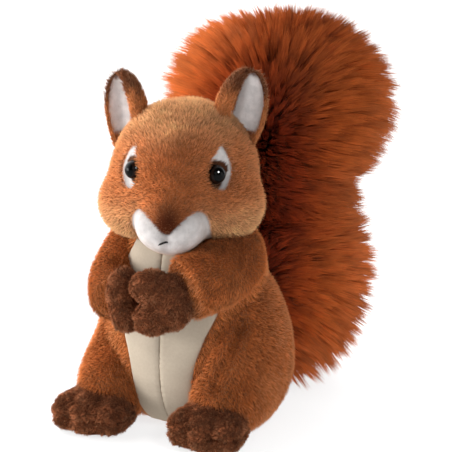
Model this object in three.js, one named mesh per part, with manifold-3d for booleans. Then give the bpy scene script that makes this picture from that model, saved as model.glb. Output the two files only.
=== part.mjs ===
// A sitting plush red squirrel, about 20 cm tall, as it is sewn: stuffed brown body, cream belly panels,
// dark paws and feet, white muzzle, eye patches and ear linings, bead eyes and a long-piled bushy tail.
// Millimetres, +Z up. It faces -Y, its left side is +X, and it sits on z = 0 around the middle of its seat.
import * as THREE from "three";
import { mergeVertices } from "three/addons/utils/BufferGeometryUtils.js";
import Module from "manifold-3d";

const wasm = await Module();
wasm.setup();

// ---------------------------------------------------------------- driving sizes
const GAP = 0.3; // kept between two pieces that are sewn face to face
const SEAT_RADIUS = 47; // half width of the seat
const SEAT_DEPTH = 38; // half depth of the seat
const CHEST_HEIGHT = 76; // middle of the chest above the floor
const HEAD_PLACE = [3.3, -10, 121]; // middle of the head
const HEAD_TURN = 12; // degrees that the head is turned to the animal's left
const EYE_RADIUS = 4.4;
const FOOT_SPREAD = 30; // middle of each foot to the side of their own middle
const FOOT_SHIFT = -2; // which lies this far to the animal's right
const FOOT_FORWARD = 31;
const ARM_RADIUS = { left: 16.5, right: 14.5 };
const PAW_HEIGHT = 70;
const BELLY_SHIFT = 0.7; // the belly panels lie this far to the animal's left
const TAIL_SHIFT = 11; // and so does the standing tail
const TAIL_BACK = 93; // middle of the standing tail behind the seat's middle
const TAIL_TOP = 197;

const LEFT = 1;
const RIGHT = -1;
const radians = THREE.MathUtils.degToRad;

// ---------------------------------------------------------------- soft forms
// A form is a list of balls (ellipsoids), each { at, size, turn }, blended softly, less any hollows.
function ball(at, size, turn = 0) {
  return { at: new THREE.Vector3(...at), size: new THREE.Vector3(...size), turn: radians(turn) };
}

const scratch = new THREE.Vector3();
const upAxis = new THREE.Vector3(0, 0, 1);

// Near enough the distance from a point to an ellipsoid's surface, negative inside.
function distanceToBall(point, { at, size, turn }) {
  scratch.copy(point).sub(at);
  if (turn) scratch.applyAxisAngle(upAxis, -turn);
  const nearness = Math.hypot(scratch.x / size.x, scratch.y / size.y, scratch.z / size.z);
  const slope = Math.hypot(scratch.x / size.x ** 2, scratch.y / size.y ** 2, scratch.z / size.z ** 2);
  return slope > 0 ? (nearness * (nearness - 1)) / slope : -Math.min(size.x, size.y, size.z);
}

// The blended distance: an exponential soft minimum over the balls, then a soft subtraction of the hollows.
function distanceToForm(point, form) {
  let sum = 0;
  for (const one of form.balls) sum += Math.exp(-distanceToBall(point, one) / form.blend);
  let distance = -form.blend * Math.log(sum);
  for (const one of form.hollows ?? []) {
    const inside = -distanceToBall(point, one);
    distance = form.blend * Math.log(Math.exp(distance / form.blend) + Math.exp(inside / form.blend));
  }
  return distance;
}

// From `reach` along `way`, steps in towards the form's heart until it is `grow` above the surface.
function placeOnForm(form, way, grow, place) {
  let t = form.reach ?? 90;
  for (let step = 0; step < 200 && t > 0; step++) {
    place.copy(form.heart).addScaledVector(way, t);
    const left = distanceToForm(place, form) - grow;
    t -= left * 0.7;
    if (Math.abs(left) < 0.01) break;
  }
  return place;
}

// Draws an icosahedron in onto the form along rays to its heart.
function shrinkWrap(form, grow = 0) {
  const stretch = new THREE.Vector3(...(form.stretch ?? [1, 1, 1]));
  const skin = new THREE.IcosahedronGeometry(1, form.detail);
  skin.deleteAttribute("normal");
  skin.deleteAttribute("uv");
  const merged = mergeVertices(skin, 1e-4);
  const corners = merged.attributes.position;
  const way = new THREE.Vector3();
  const place = new THREE.Vector3();
  for (let i = 0; i < corners.count; i++) {
    way.fromBufferAttribute(corners, i).multiply(stretch).normalize();
    corners.setXYZ(i, ...placeOnForm(form, way, grow, place).toArray());
  }
  return merged;
}

// A closed tube along a curve: ring radii from radiusAt(0..1), closed by a point at each end.
function sweep(curve, radiusAt, rings, sides, grow = 0) {
  const frames = curve.computeFrenetFrames(rings, false);
  const places = [];
  const faces = [];
  for (let i = 0; i <= rings; i++) {
    const middle = curve.getPointAt(i / rings);
    for (let k = 0; k < sides; k++) {
      const angle = (2 * Math.PI * k) / sides;
      const out = new THREE.Vector3()
        .addScaledVector(frames.normals[i], Math.cos(angle))
        .addScaledVector(frames.binormals[i], Math.sin(angle));
      places.push(...middle.clone().addScaledVector(out, radiusAt(i / rings) + grow).toArray());
    }
  }
  for (let i = 0; i < rings; i++) {
    for (let k = 0; k < sides; k++) {
      const a = i * sides + k;
      const b = i * sides + ((k + 1) % sides);
      faces.push(a, b, b + sides, a, b + sides, a + sides);
    }
  }
  for (const [end, ring, way] of [[0, 0, -1], [1, rings, 1]]) {
    const cap = places.length / 3;
    const ahead = way * (radiusAt(end) * 0.5 + grow);
    const tip = curve.getPointAt(end).addScaledVector(frames.tangents[ring], ahead);
    places.push(...tip.toArray());
    for (let k = 0; k < sides; k++) {
      const a = ring * sides + k;
      const b = ring * sides + ((k + 1) % sides);
      faces.push(...(way < 0 ? [b, a, cap] : [a, b, cap]));
    }
  }
  const tube = new THREE.BufferGeometry();
  tube.setAttribute("position", new THREE.Float32BufferAttribute(places, 3));
  tube.setIndex(faces);
  return tube;
}

// ---------------------------------------------------------------- outlines
// A smooth closed outline through the points, counter-clockwise.
function roundOutline(points, count) {
  const curve = new THREE.CatmullRomCurve3(points.map(([x, y]) => new THREE.Vector3(x, y, 0)), true);
  const outline = curve.getPoints(count).slice(0, -1).map(({ x, y }) => new THREE.Vector2(x, y));
  return THREE.ShapeUtils.isClockWise(outline) ? outline.reverse() : outline;
}

// The half outline and its mirror image in x = 0.
const mirrored = (half) => [...half, ...half.map(([x, y]) => [-x, y]).reverse()];

// A counter-clockwise outline moved out by `by`, with mitred corners.
function widened(outline, by) {
  return outline.map((point, i) => {
    const before = outline[(i + outline.length - 1) % outline.length];
    const after = outline[(i + 1) % outline.length];
    const first = point.clone().sub(before).normalize();
    const second = after.clone().sub(point).normalize();
    const normal = new THREE.Vector2(first.y + second.y, -first.x - second.x).normalize();
    const mitre = by / Math.max(0.5, normal.x * first.y - normal.y * first.x);
    return point.clone().addScaledVector(normal, mitre);
  });
}

// An outline in the x-z plane, extruded along y from `front` to `back`, turned about +Z and moved.
function plug(outline, front, back, turn = 0, at = [0, 0, 0]) {
  const shape = new THREE.Shape(outline);
  const made = new THREE.ExtrudeGeometry(shape, { depth: back - front, bevelEnabled: false });
  made.rotateX(Math.PI / 2); // the outline's y becomes z, and its depth runs towards -y
  made.translate(0, back, 0);
  made.rotateZ(radians(turn));
  made.translate(...at);
  return made;
}

// ---------------------------------------------------------------- joining and cutting
function solid(geometry) {
  const bare = geometry.clone();
  bare.deleteAttribute("normal");
  bare.deleteAttribute("uv");
  const merged = mergeVertices(bare, 1e-4);
  return new wasm.Manifold(
    new wasm.Mesh({
      numProp: 3,
      vertProperties: new Float32Array(merged.attributes.position.array),
      triVerts: new Uint32Array(merged.index.array),
    }),
  );
}

function largestOf(made) {
  return made.decompose().reduce((best, one) => (one.volume() > best.volume() ? one : best));
}

function less(made, ...cutters) {
  return largestOf(cutters.reduce((left, cutter) => left.subtract(cutter), made));
}

function geometryOf(made) {
  const mesh = made.getMesh();
  const geometry = new THREE.BufferGeometry();
  geometry.setAttribute("position", new THREE.BufferAttribute(new Float32Array(mesh.vertProperties), 3));
  geometry.setIndex(new THREE.BufferAttribute(new Uint32Array(mesh.triVerts), 1));
  return geometry;
}

const block = (width, depth, height, at) =>
  solid(new THREE.BoxGeometry(width, depth, height).translate(...at));
const floorBlock = block(600, 600, 100, [0, 0, -50]);

// ---------------------------------------------------------------- colours
const fabric = (color) => new THREE.MeshStandardMaterial({ color, roughness: 0.95, metalness: 0 });
const rustPlush = fabric("#a9602f");
const darkPlush = fabric("#4a2817");
const creamVelour = fabric("#ddccb4");
const whitePlush = fabric("#ece7e2");
const tailPile = fabric("#8e431f");
const beadBlack = new THREE.MeshStandardMaterial({ color: "#0b0a0a", roughness: 0.08, metalness: 0 });
const stitchBlack = fabric("#1a1614");

const squirrel = new THREE.Group();
function addPiece(name, made, material) {
  const mesh = new THREE.Mesh(geometryOf(made), material);
  mesh.name = name;
  squirrel.add(mesh);
}
const sides = [[LEFT, "left"], [RIGHT, "right"]];

// ---------------------------------------------------------------- head
const headMatrix = new THREE.Matrix4().makeRotationZ(radians(HEAD_TURN)).setPosition(...HEAD_PLACE);
const inHead = (geometry) => solid(geometry.applyMatrix4(headMatrix));

const headForm = {
  heart: new THREE.Vector3(0, -4, -4),
  detail: 7,
  blend: 4,
  balls: [
    ball([0, 4, 4], [34.5, 32, 33]), // skull
    ball([0, -16, 6], [19, 18, 17]), // forehead and bridge of the nose
    ball([0, -24, -18], [16, 15, 13]), // snout
    ball([21.5, -6, -12], [18, 19, 17]), // left cheek
    ball([-21.5, -6, -12], [18, 19, 17]), // right cheek
  ],
  hollows: [
    ball([32, -29, 7], [8, 9, 11]),
    ball([-32, -29, 7], [8, 9, 11]),
  ],
};

const EYE_PLACE = [20.5, -22.5, 6.8];
const EYE_FACES = 48; // degrees that an eye faces away from straight ahead

function eyeBall(side, grow = 0) {
  const [x, y, z] = EYE_PLACE;
  const made = new THREE.SphereGeometry(EYE_RADIUS + grow, 12, 8).rotateX(Math.PI / 2);
  return inHead(made.translate(side * x, y, z));
}

// A tall leaf of white plush round the eye, wider behind it than before it.
const leafPoints = [
  [3.5, 14.5], [-3.5, 7.5], [-5.5, 0], [-2.5, -6], [2.5, -9.5], [7.5, -5], [9, 1.5], [7.5, 8.5],
];
const leafOutline = (side) => roundOutline(leafPoints.map(([x, z]) => [side * x, z]), 11);
const PATCH_DEPTH = 5; // of the leaf's back behind the eye's middle

function eyePatchPlug(side, grow = 0) {
  const [x, y, z] = EYE_PLACE;
  const outline = widened(leafOutline(side), grow);
  return inHead(plug(outline, -30, PATCH_DEPTH + grow, side * EYE_FACES, [side * x, y, z]));
}

// The white muzzle seen from the front: two round lobes under a notch that holds the nose.
const lobePoints = [[5, -16.5], [10.5, -12], [15, -11], [18.5, -15], [19, -21], [16.5, -27.5], [10, -33]];
const lobesOutline = roundOutline([[0, -20], ...mirrored([...lobePoints, [3.5, -35.5]])], 26);
const MUZZLE_BACK = -19; // y of the muzzle's hidden back face
const MUZZLE_RISE = 0.6; // the white plush stands this far above the head

const headSkin = inHead(shrinkWrap(headForm));
const headGrown = inHead(shrinkWrap(headForm, GAP));
const muzzleSkin = inHead(shrinkWrap(headForm, MUZZLE_RISE));
const muzzleRoom = inHead(plug(widened(lobesOutline, GAP), -70, MUZZLE_BACK + GAP));
const muzzleGrown = inHead(shrinkWrap(headForm, MUZZLE_RISE + GAP)).intersect(muzzleRoom);

// The embroidered mouth: a short thread on the muzzle, from its middle down to the animal's right.
const STITCH_RADIUS = 0.6;
const stitchWays = [[0.9, -25.2], [0, -24.8], [-2.2, -26.2], [-4.6, -28]];
const stitchPath = new THREE.CatmullRomCurve3(
  stitchWays.map(([x, z]) => {
    const way = new THREE.Vector3(x, -42, z).sub(headForm.heart).normalize();
    return placeOnForm(headForm, way, MUZZLE_RISE, new THREE.Vector3());
  }),
);
const stitch = (grow) => inHead(sweep(stitchPath, () => STITCH_RADIUS, 4, 5, grow));

const muzzle = muzzleSkin.intersect(inHead(plug(lobesOutline, -70, MUZZLE_BACK)));
addPiece("muzzle", less(muzzle, stitch(GAP)), whitePlush);
addPiece("mouth_stitch", stitch(0), stitchBlack);

let head = headSkin.subtract(muzzleRoom);
for (const [side, name] of sides) {
  addPiece(`eye_${name}`, eyeBall(side), beadBlack);
  addPiece(`eye_patch_${name}`, less(headSkin.intersect(eyePatchPlug(side)), eyeBall(side, GAP)), whitePlush);
  head = head.subtract(eyePatchPlug(side, GAP)).subtract(eyeBall(side, GAP));
}
addPiece("head", largestOf(head), rustPlush);

// ---------------------------------------------------------------- ears
// Local to each ear: +Z up the ear, -Y out of its cup.
const EAR_ROOT = [26, 3, 22]; // from the middle of the head
const EAR_LEAN = 13; // degrees back, and as much outwards
const EAR_FACES = 38; // degrees that the cup is turned outwards
const EAR_LINING = 1.6; // thickness of the white lining in the cup
const earForm = {
  heart: new THREE.Vector3(0, 2, 12),
  detail: 2,
  blend: 2.5,
  stretch: [0.7, 0.5, 1],
  balls: [ball([0, 1, 6], [12, 8, 15]), ball([0, 1, 19], [9, 5.5, 11.5])],
};
const cupForm = {
  heart: new THREE.Vector3(0, -6, 11),
  detail: 1,
  blend: 2,
  stretch: [0.7, 0.6, 1],
  balls: [ball([0, -6, 8], [7.6, 7, 12]), ball([0, -4.5, 18], [6, 5.2, 9])],
};

for (const [side, name] of sides) {
  const lean = new THREE.Euler(radians(-EAR_LEAN), radians(side * EAR_LEAN), radians(side * EAR_FACES), "XYZ");
  const turned = new THREE.Matrix4().makeRotationFromEuler(lean);
  turned.setPosition(side * EAR_ROOT[0], EAR_ROOT[1], EAR_ROOT[2]);
  const placed = (form, grow = 0) => inHead(shrinkWrap(form, grow).applyMatrix4(turned));
  const shell = less(placed(earForm), headGrown);
  const lining = shell.intersect(placed(cupForm, EAR_LINING)).subtract(placed(cupForm));
  addPiece(`ear_${name}`, less(shell, placed(cupForm, EAR_LINING + GAP)), rustPlush);
  addPiece(`ear_lining_${name}`, largestOf(lining), whitePlush);
}

// ---------------------------------------------------------------- torso, belly and limbs
const torsoForm = {
  heart: new THREE.Vector3(0, 1, 48),
  detail: 6,
  blend: 6,
  stretch: [1, 1, 1.25],
  balls: [
    ball([0, 4, 34], [SEAT_RADIUS, SEAT_DEPTH, 43]),
    ball([2, 0, CHEST_HEIGHT], [38, 31, 34]),
  ],
};

// Each thigh rises into the torso's side; the right one lies lower.
const thighForms = {
  [LEFT]: {
    heart: new THREE.Vector3(32, -6, 24),
    detail: 3,
    blend: 5,
    balls: [
      ball([34, 0, 28], [17, 33, 30], -6),
      ball([29, -23, 16], [15, 19, 16]),
      ball([27.5, 6, 52], [18, 24, 27]),
    ],
  },
  [RIGHT]: {
    heart: new THREE.Vector3(-32, -6, 24),
    detail: 3,
    blend: 5,
    balls: [
      ball([-33, -1, 20], [18, 32, 25], 6),
      ball([-29, -23, 16], [15, 19, 16]),
      ball([-26.5, 2, 45], [17, 24, 26]),
    ],
  },
};

const footSizes = {
  [LEFT]: { width: 34, height: 23.5, toeSpacing: 11.5 },
  [RIGHT]: { width: 37, height: 22.5, toeSpacing: 12.2 },
};
const footForm = (side) => {
  const { width, height, toeSpacing } = footSizes[side];
  const across = FOOT_SHIFT + side * FOOT_SPREAD;
  const toe = (i) =>
    ball([across + i * toeSpacing, -FOOT_FORWARD - 14 + 2 * Math.abs(i), 9], [7.5, 10, 9.3]);
  return {
    heart: new THREE.Vector3(across, -FOOT_FORWARD - 6, 10.5),
    detail: 4,
    blend: 1.6,
    stretch: [1, 1.3, 0.7],
    balls: [ball([across, -FOOT_FORWARD, 8], [width / 2, 19, height - 8]), toe(-1), toe(0), toe(1)],
  };
};

// From the shoulder out round the elbow and in to the wrist; the right forearm hangs lower.
const armPaths = {
  [LEFT]: [[12, 9, 92], [27.5, -8, 83.5], [27.5, -29, 79], [19, -41, 75.5]],
  [RIGHT]: [[-8, 9, 94], [-23.5, -6, 86], [-25, -26, 71], [-17, -40, 67]],
};
const armCurve = (side) =>
  new THREE.CatmullRomCurve3(armPaths[side].map((place) => new THREE.Vector3(...place)));
const arm = (side, grow = 0) => {
  const [radius, taper] = side === LEFT ? [ARM_RADIUS.left, 0.04] : [ARM_RADIUS.right, 0.1];
  const thickness = (t) => radius * Math.min(1, 0.55 + 2.2 * t) * (1 - taper * t);
  return solid(sweep(armCurve(side), thickness, 8, 11, grow));
};

const pawForms = {
  [LEFT]: {
    heart: new THREE.Vector3(11, -47, PAW_HEIGHT),
    detail: 3,
    blend: 1.6,
    balls: [
      ball([14, -46, PAW_HEIGHT - 0.5], [10, 10, 14]),
      ball([4.5, -50, PAW_HEIGHT + 6.5], [10.5, 9, 9]), // upper fingers
      ball([4.5, -49.5, PAW_HEIGHT - 8.5], [9.5, 9, 8.5]), // lower fingers
    ],
  },
  [RIGHT]: {
    heart: new THREE.Vector3(-11, -46, PAW_HEIGHT - 2),
    detail: 3,
    blend: 1.6,
    balls: [
      ball([-12, -44, PAW_HEIGHT + 1], [8.5, 10, 13]),
      ball([-8, -48, PAW_HEIGHT - 9], [8, 9, 8]), // lower fingers
    ],
  },
};

// The cream front of the torso, seen from the front, from the crotch up to the throat.
const bellyPoints = [
  [12.5, 2], [15.5, 12], [15.7, 24], [18, 37], [21.5, 48], [26.5, 61], [26, 75], [18.5, 88], [13, 104],
];
const bellyOutline = roundOutline(mirrored(bellyPoints).map(([x, z]) => [x + BELLY_SHIFT, z]), 26);
const BELLY_BACK = -11; // y of the panels' hidden back

const limbs = {};
for (const [side] of sides) {
  limbs[side] = {
    foot: solid(shrinkWrap(footForm(side))).subtract(floorBlock),
    footGrown: solid(shrinkWrap(footForm(side), GAP)),
    thigh: solid(shrinkWrap(thighForms[side])).subtract(floorBlock),
    thighGrown: solid(shrinkWrap(thighForms[side], GAP)),
    paw: solid(shrinkWrap(pawForms[side])),
    pawGrown: solid(shrinkWrap(pawForms[side], GAP)),
    arm: arm(side),
    armGrown: arm(side, GAP),
  };
}
const roomForLimbs = sides.flatMap(([side]) => {
  const { footGrown, thighGrown, pawGrown, armGrown } = limbs[side];
  return [footGrown, thighGrown, pawGrown, armGrown];
});
const torsoGrown = solid(shrinkWrap(torsoForm, GAP));
const torsoCore = less(solid(shrinkWrap(torsoForm)), floorBlock, headGrown, ...roomForLimbs);
const bellyRoom = solid(plug(widened(bellyOutline, GAP), -80, BELLY_BACK + GAP));
addPiece("torso", less(torsoCore, bellyRoom), rustPlush);

const belly = torsoCore.intersect(solid(plug(bellyOutline, -80, BELLY_BACK)));
for (const [side, name] of sides) {
  const half = block(200, 400, 400, [BELLY_SHIFT + side * (100 + GAP / 2), 0, 0]);
  addPiece(`belly_${name}`, largestOf(belly.intersect(half)), creamVelour);
  const { foot, footGrown, thigh, thighGrown, paw, pawGrown } = limbs[side];
  const other = limbs[-side];
  addPiece(`foot_${name}`, foot, darkPlush);
  addPiece(`thigh_${name}`, less(thigh, footGrown), rustPlush);
  const roomForArm = [pawGrown, other.pawGrown, headGrown, muzzleGrown, thighGrown];
  addPiece(`arm_${name}`, less(limbs[side].arm, ...roomForArm), rustPlush);
  addPiece(`paw_${name}`, side === LEFT ? paw : less(paw, other.pawGrown), darkPlush);
}

// ---------------------------------------------------------------- tail
const UPPER_HEIGHT = 53; // half height of the tail's upper lobe
const CORE_RADIUS = 22; // of the tail's stuffed core, less than half way to the pile's tips
const CORE_SIDES = 12;
const LOCK_COUNT = 103;
const LOCK_WIDTH = 27; // of a lock of pile at its widest place
const LOCK_THICKNESS = 4.5; // at its root
const LOCK_SINK = 4; // how deep a lock's root is sunk in the core
const SHORTEST_LOCK = 14; // shorter ones, next to the rump, are left out
const CLEARANCE = 3; // kept by a lock's middle line from the body
const TIP_SHARE = 0.5; // weight of the distance between tips beside that between roots

// The outer form of the tail, out to the tips of its pile.
const tailForm = {
  blend: 5,
  balls: [
    ball([TAIL_SHIFT + 2, TAIL_BACK - 20, 28], [44, 34, 36]),
    ball([TAIL_SHIFT + 1, TAIL_BACK - 4, 53], [58, 46, 55]),
    ball([TAIL_SHIFT + 2, TAIL_BACK - 7, 102], [42, 40, 34]),
    ball([TAIL_SHIFT + 1.5, TAIL_BACK + 8, TAIL_TOP - UPPER_HEIGHT], [65, 58, UPPER_HEIGHT]),
    ball([TAIL_SHIFT - 26, TAIL_BACK + 8, 160], [31, 44, 27]), // fuller at the upper right
  ],
};

// The core rises from the rump and leans back at the top, and is split into three lengths.
const corePath = [
  [5, 62, 30], [10, 79, 48], [11, 88, 72], [11, 88, 98], [12, 91, 120], [13, 99, 137], [14, 110, 149],
];
const coreCurve = new THREE.CatmullRomCurve3(corePath.map((place) => new THREE.Vector3(...place)));
const CORE_STEPS = 60;
const coreFrames = coreCurve.computeFrenetFrames(CORE_STEPS, false);
const lengths = [
  { name: "tail_lower", from: 0, to: 24 },
  { name: "tail_middle", from: 24, to: 38 },
  { name: "tail_tip", from: 38, to: CORE_STEPS },
];

// A place on the core: `step` along its line, `angle` round it, and `cap` degrees over a round end.
function onCore(step, angle, cap, grow = 0) {
  const out = new THREE.Vector3()
    .addScaledVector(coreFrames.normals[step], Math.cos(angle))
    .addScaledVector(coreFrames.binormals[step], Math.sin(angle));
  const ahead = coreFrames.tangents[step];
  const normal = out.multiplyScalar(Math.cos(radians(cap))).addScaledVector(ahead, Math.sin(radians(cap)));
  const place = coreCurve.getPointAt(step / CORE_STEPS).addScaledVector(normal, CORE_RADIUS + grow);
  return { step, place, normal, end: Math.max(0, cap) / 90 };
}

// Every place on the core that a lock may grow from.
function coreGrid() {
  const grid = [];
  const around = 36;
  for (let k = 0; k < around; k++) {
    const angle = (2 * Math.PI * k) / around;
    for (let cap = 80; cap > 0; cap -= 10) grid.push(onCore(0, angle, -cap));
    for (let step = 0; step <= CORE_STEPS; step++) grid.push(onCore(step, angle, 0));
    for (let cap = 10; cap <= 80; cap += 10) grid.push(onCore(CORE_STEPS, angle, cap));
  }
  return grid;
}

// `count` of the places, spread evenly over the core, and their locks' tips evenly over the tail's outer
// form: each next one is the farthest from all picked before.
function spread(places, count) {
  const tips = places.map((root) => layLock(root, () => 0.5).curve.v2);
  const nearest = places.map(() => Infinity);
  const picked = [];
  let next = 0;
  while (picked.length < count) {
    const latest = places[next];
    const latestTip = tips[next];
    picked.push(latest);
    places.forEach(({ place }, i) => {
      const apart = latest.place.distanceTo(place) + TIP_SHARE * latestTip.distanceTo(tips[i]);
      nearest[i] = Math.min(nearest[i], apart);
      if (nearest[i] > nearest[next]) next = i;
    });
  }
  return picked;
}

// A repeatable draw of numbers from 0 to 1.
function seeded(seed) {
  let state = seed;
  return () => {
    state = (state + 0x6d2b79f5) | 0;
    let mixed = Math.imul(state ^ (state >>> 15), 1 | state);
    mixed = (mixed + Math.imul(mixed ^ (mixed >>> 7), 61 | mixed)) ^ mixed;
    return ((mixed ^ (mixed >>> 14)) >>> 0) / 4294967296;
  };
}

// How far a lock may run from a root along a way: to the tail's outer form, or short of the body.
const bodyForms = [torsoForm, thighForms[LEFT], thighForms[RIGHT]];
function lockReach(root, way) {
  const place = new THREE.Vector3();
  let reach = 6;
  for (let tries = 0; tries < 80; tries++) {
    place.copy(root).addScaledVector(way, reach);
    const free = Math.min(...bodyForms.map((form) => distanceToForm(place, form) - CLEARANCE));
    const left = Math.min(-distanceToForm(place, tailForm), free);
    if (left < 0.05) break;
    reach += left * 0.8;
  }
  return reach;
}

// The way the pile is combed: at the front sideways from its parting, at the back up along the tail, round
// the tail's end outwards and down. Its length is the lean, 1 for a lock that leans half over.
function combed({ step, normal, end }) {
  const along = coreFrames.tangents[step];
  const front = 0.5 - 0.5 * normal.y; // from 0 at the back to 1 at the front
  const rise = Math.min(1, step / lengths[0].to); // 0 at the rump, where the pile hangs, 1 at the waist
  const lie = new THREE.Vector3();
  if (end > 0) {
    lie.copy(normal).addScaledVector(along, -normal.dot(along)).setLength(0.9);
    lie.addScaledVector(upAxis, -0.6);
  } else {
    const sideways = normal.x >= 0 ? LEFT : RIGHT;
    lie.set(sideways * 1.3 * front ** 2, 0.25 + 0.6 * front, -0.6 * (1 - rise));
    lie.addScaledVector(along, (1 - 0.8 * front) * rise);
  }
  return lie.addScaledVector(normal, -lie.dot(normal));
}

// One lock: from its root in the core it stands out, then bends over the way the pile is combed.
function layLock(from, random) {
  const { step, place, normal } = from;
  const lie = combed(from);
  const way = normal.clone().add(lie).normalize();
  const reach = lockReach(place, way) * (1 + 0.07 * random());
  const root = place.clone().addScaledVector(normal, -LOCK_SINK);
  const bend = place.clone().addScaledVector(normal, reach * 0.4);
  const tip = place.clone().addScaledVector(way, reach);
  return {
    step,
    curve: new THREE.QuadraticBezierCurve3(root, bend, tip),
    across: normal.clone().cross(lie).normalize().applyAxisAngle(normal, 0.5 * (random() - 0.5)),
    width: LOCK_WIDTH * Math.min(1, 0.35 + reach / 40) * (0.9 + 0.2 * random()),
  };
}

// Its solid: flat three-cornered rings along the curve, their ridge outwards, closed by the tip's point and
// the root's end. It is grown more in width than in thickness, as its edges are thin.
const lockCorners = [[1, -0.8], [0, 1.2], [-1, -0.8]]; // in half widths and half thicknesses
const lockRings = [[0, 0.35, 1], [0.5, 1, 0.85], [0.86, 0.8, 0.45]]; // t, width, thickness
function lockSolid({ curve, across, width }, grow) {
  const places = [];
  const faces = [];
  for (const [t, wide, thick] of lockRings) {
    const ahead = curve.getTangent(t);
    const face = ahead.clone().cross(across).normalize();
    const middle = curve.getPoint(t);
    const halfWidth = (width * wide) / 2 + 6 * grow;
    const halfThickness = (LOCK_THICKNESS * thick) / 2 + grow;
    for (const [a, b] of lockCorners) {
      const corner = middle.clone().addScaledVector(across, a * halfWidth);
      places.push(...corner.addScaledVector(face, b * halfThickness).toArray());
    }
  }
  places.push(...curve.getPoint(1).addScaledVector(curve.getTangent(1), 3 * grow).toArray());
  const corners = lockCorners.length;
  const last = lockRings.length * corners;
  for (let ring = 0; ring < last; ring += corners) {
    for (let k = 0; k < corners; k++) {
      const [a, b] = [ring + k, ring + ((k + 1) % corners)];
      if (ring + corners < last) faces.push(a, b, b + corners, a, b + corners, a + corners);
      else faces.push(a, b, last);
    }
  }
  faces.push(0, 2, 1);
  return indexedSolid(places, faces);
}

// A closed solid from its corners' coordinates in a row and its triangles' corner numbers.
function indexedSolid(places, faces) {
  const made = new THREE.BufferGeometry();
  made.setAttribute("position", new THREE.Float32BufferAttribute(places, 3));
  made.setIndex(faces);
  return solid(made);
}

// One length of the core, from step `from` to step `to`: the tail's own ends are round, and where it meets
// the next length its end is flat, half a gap short of the cut.
const CAPS = [20, 45, 75]; // degrees over a round end that its rings lie at
const RING_STEPS = 5; // steps from one ring to the next
function coreSolid(from, to, grow) {
  const rings = [];
  if (from === 0) rings.push(...CAPS.toReversed().map((cap) => ({ step: 0, cap: -cap, moved: 0 })));
  const count = Math.ceil((to - from) / RING_STEPS);
  for (let i = 0; i <= count; i++) {
    const step = Math.round(from + ((to - from) * i) / count);
    let moved = 0; // along the core
    if (step === from && from > 0) moved = GAP / 2 - grow;
    if (step === to && to < CORE_STEPS) moved = grow - GAP / 2;
    rings.push({ step, cap: 0, moved });
  }
  if (to === CORE_STEPS) rings.push(...CAPS.map((cap) => ({ step: CORE_STEPS, cap, moved: 0 })));

  const places = [];
  const faces = [];
  for (const [i, { step, cap, moved }] of rings.entries()) {
    for (let k = 0; k < CORE_SIDES; k++) {
      const { place } = onCore(step, (2 * Math.PI * k) / CORE_SIDES, cap, grow);
      places.push(...place.addScaledVector(coreFrames.tangents[step], moved).toArray());
      if (i === rings.length - 1) continue;
      const a = i * CORE_SIDES + k;
      const b = i * CORE_SIDES + ((k + 1) % CORE_SIDES);
      faces.push(a, b, b + CORE_SIDES, a, b + CORE_SIDES, a + CORE_SIDES);
    }
  }
  const last = (rings.length - 1) * CORE_SIDES;
  for (let k = 1; k < CORE_SIDES - 1; k++) faces.push(0, k + 1, k, last, last + k, last + k + 1);
  return indexedSolid(places, faces);
}

// Each length is its core with the locks that grow from it, clear of the floor, the body and the lengths
// below it.
const draw = seeded(7);
const locks = spread(coreGrid(), LOCK_COUNT)
  .map((root) => layLock(root, draw))
  .filter(({ curve }) => curve.getLength() > SHORTEST_LOCK);
const filled = [floorBlock, torsoGrown, headGrown, ...sides.map(([side]) => limbs[side].thighGrown)];
for (const { name, from, to } of lengths) {
  const own = locks.filter(({ step }) => step >= from && (step < to || to === CORE_STEPS));
  const join = (grow) =>
    wasm.Manifold.union([coreSolid(from, to, grow), ...own.map((lock) => lockSolid(lock, grow))]);
  addPiece(name, less(join(0), ...filled), tailPile);
  filled.push(join(GAP));
}

export default squirrel;
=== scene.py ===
import bpy
import numpy as np
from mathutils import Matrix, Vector


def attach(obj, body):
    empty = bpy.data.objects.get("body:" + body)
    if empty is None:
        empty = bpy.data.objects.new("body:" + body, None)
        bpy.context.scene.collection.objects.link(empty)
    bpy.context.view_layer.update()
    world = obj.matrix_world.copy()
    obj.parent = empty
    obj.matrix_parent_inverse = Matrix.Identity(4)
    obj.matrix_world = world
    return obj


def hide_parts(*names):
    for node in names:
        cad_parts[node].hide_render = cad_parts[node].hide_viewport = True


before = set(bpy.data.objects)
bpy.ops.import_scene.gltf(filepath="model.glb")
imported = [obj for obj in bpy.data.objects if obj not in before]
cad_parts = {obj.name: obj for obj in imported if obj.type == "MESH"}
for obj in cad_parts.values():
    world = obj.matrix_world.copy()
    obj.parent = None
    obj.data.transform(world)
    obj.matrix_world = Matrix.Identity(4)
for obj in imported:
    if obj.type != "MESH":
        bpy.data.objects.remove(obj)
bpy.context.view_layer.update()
print("frame loaded", len(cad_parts), "nodes")

millimetre = 0.001
rng = np.random.default_rng(11)
scene = bpy.context.scene

# camera
cameraSet = {"target": (11.13, 24.50, 91.13), "azimuth": 22.0, "height": 11.5, "distance": 627.8,
             "lens": 100.0, "sensor": 36.0}
azimuth, height = np.radians(cameraSet["azimuth"]), np.radians(cameraSet["height"])
right = np.array([np.cos(azimuth), np.sin(azimuth), 0.0])
back = np.array([np.sin(azimuth) * np.cos(height), -np.cos(azimuth) * np.cos(height), np.sin(height)])
cameraData = bpy.data.cameras.new("camera")
cameraData.lens = cameraSet["lens"]
cameraData.sensor_width = cameraSet["sensor"]
camera = bpy.data.objects.new("camera", cameraData)
camera.location = Vector((np.array(cameraSet["target"]) + back * cameraSet["distance"]) * millimetre)
camera.rotation_euler = Vector(-back).to_track_quat("-Z", "Y").to_euler()
scene.collection.objects.link(camera)
scene.camera = camera

# the value of each named socket of a node
def setSockets(node, values):
    for name, value in values.items():
        node.inputs[name].default_value = value


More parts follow.
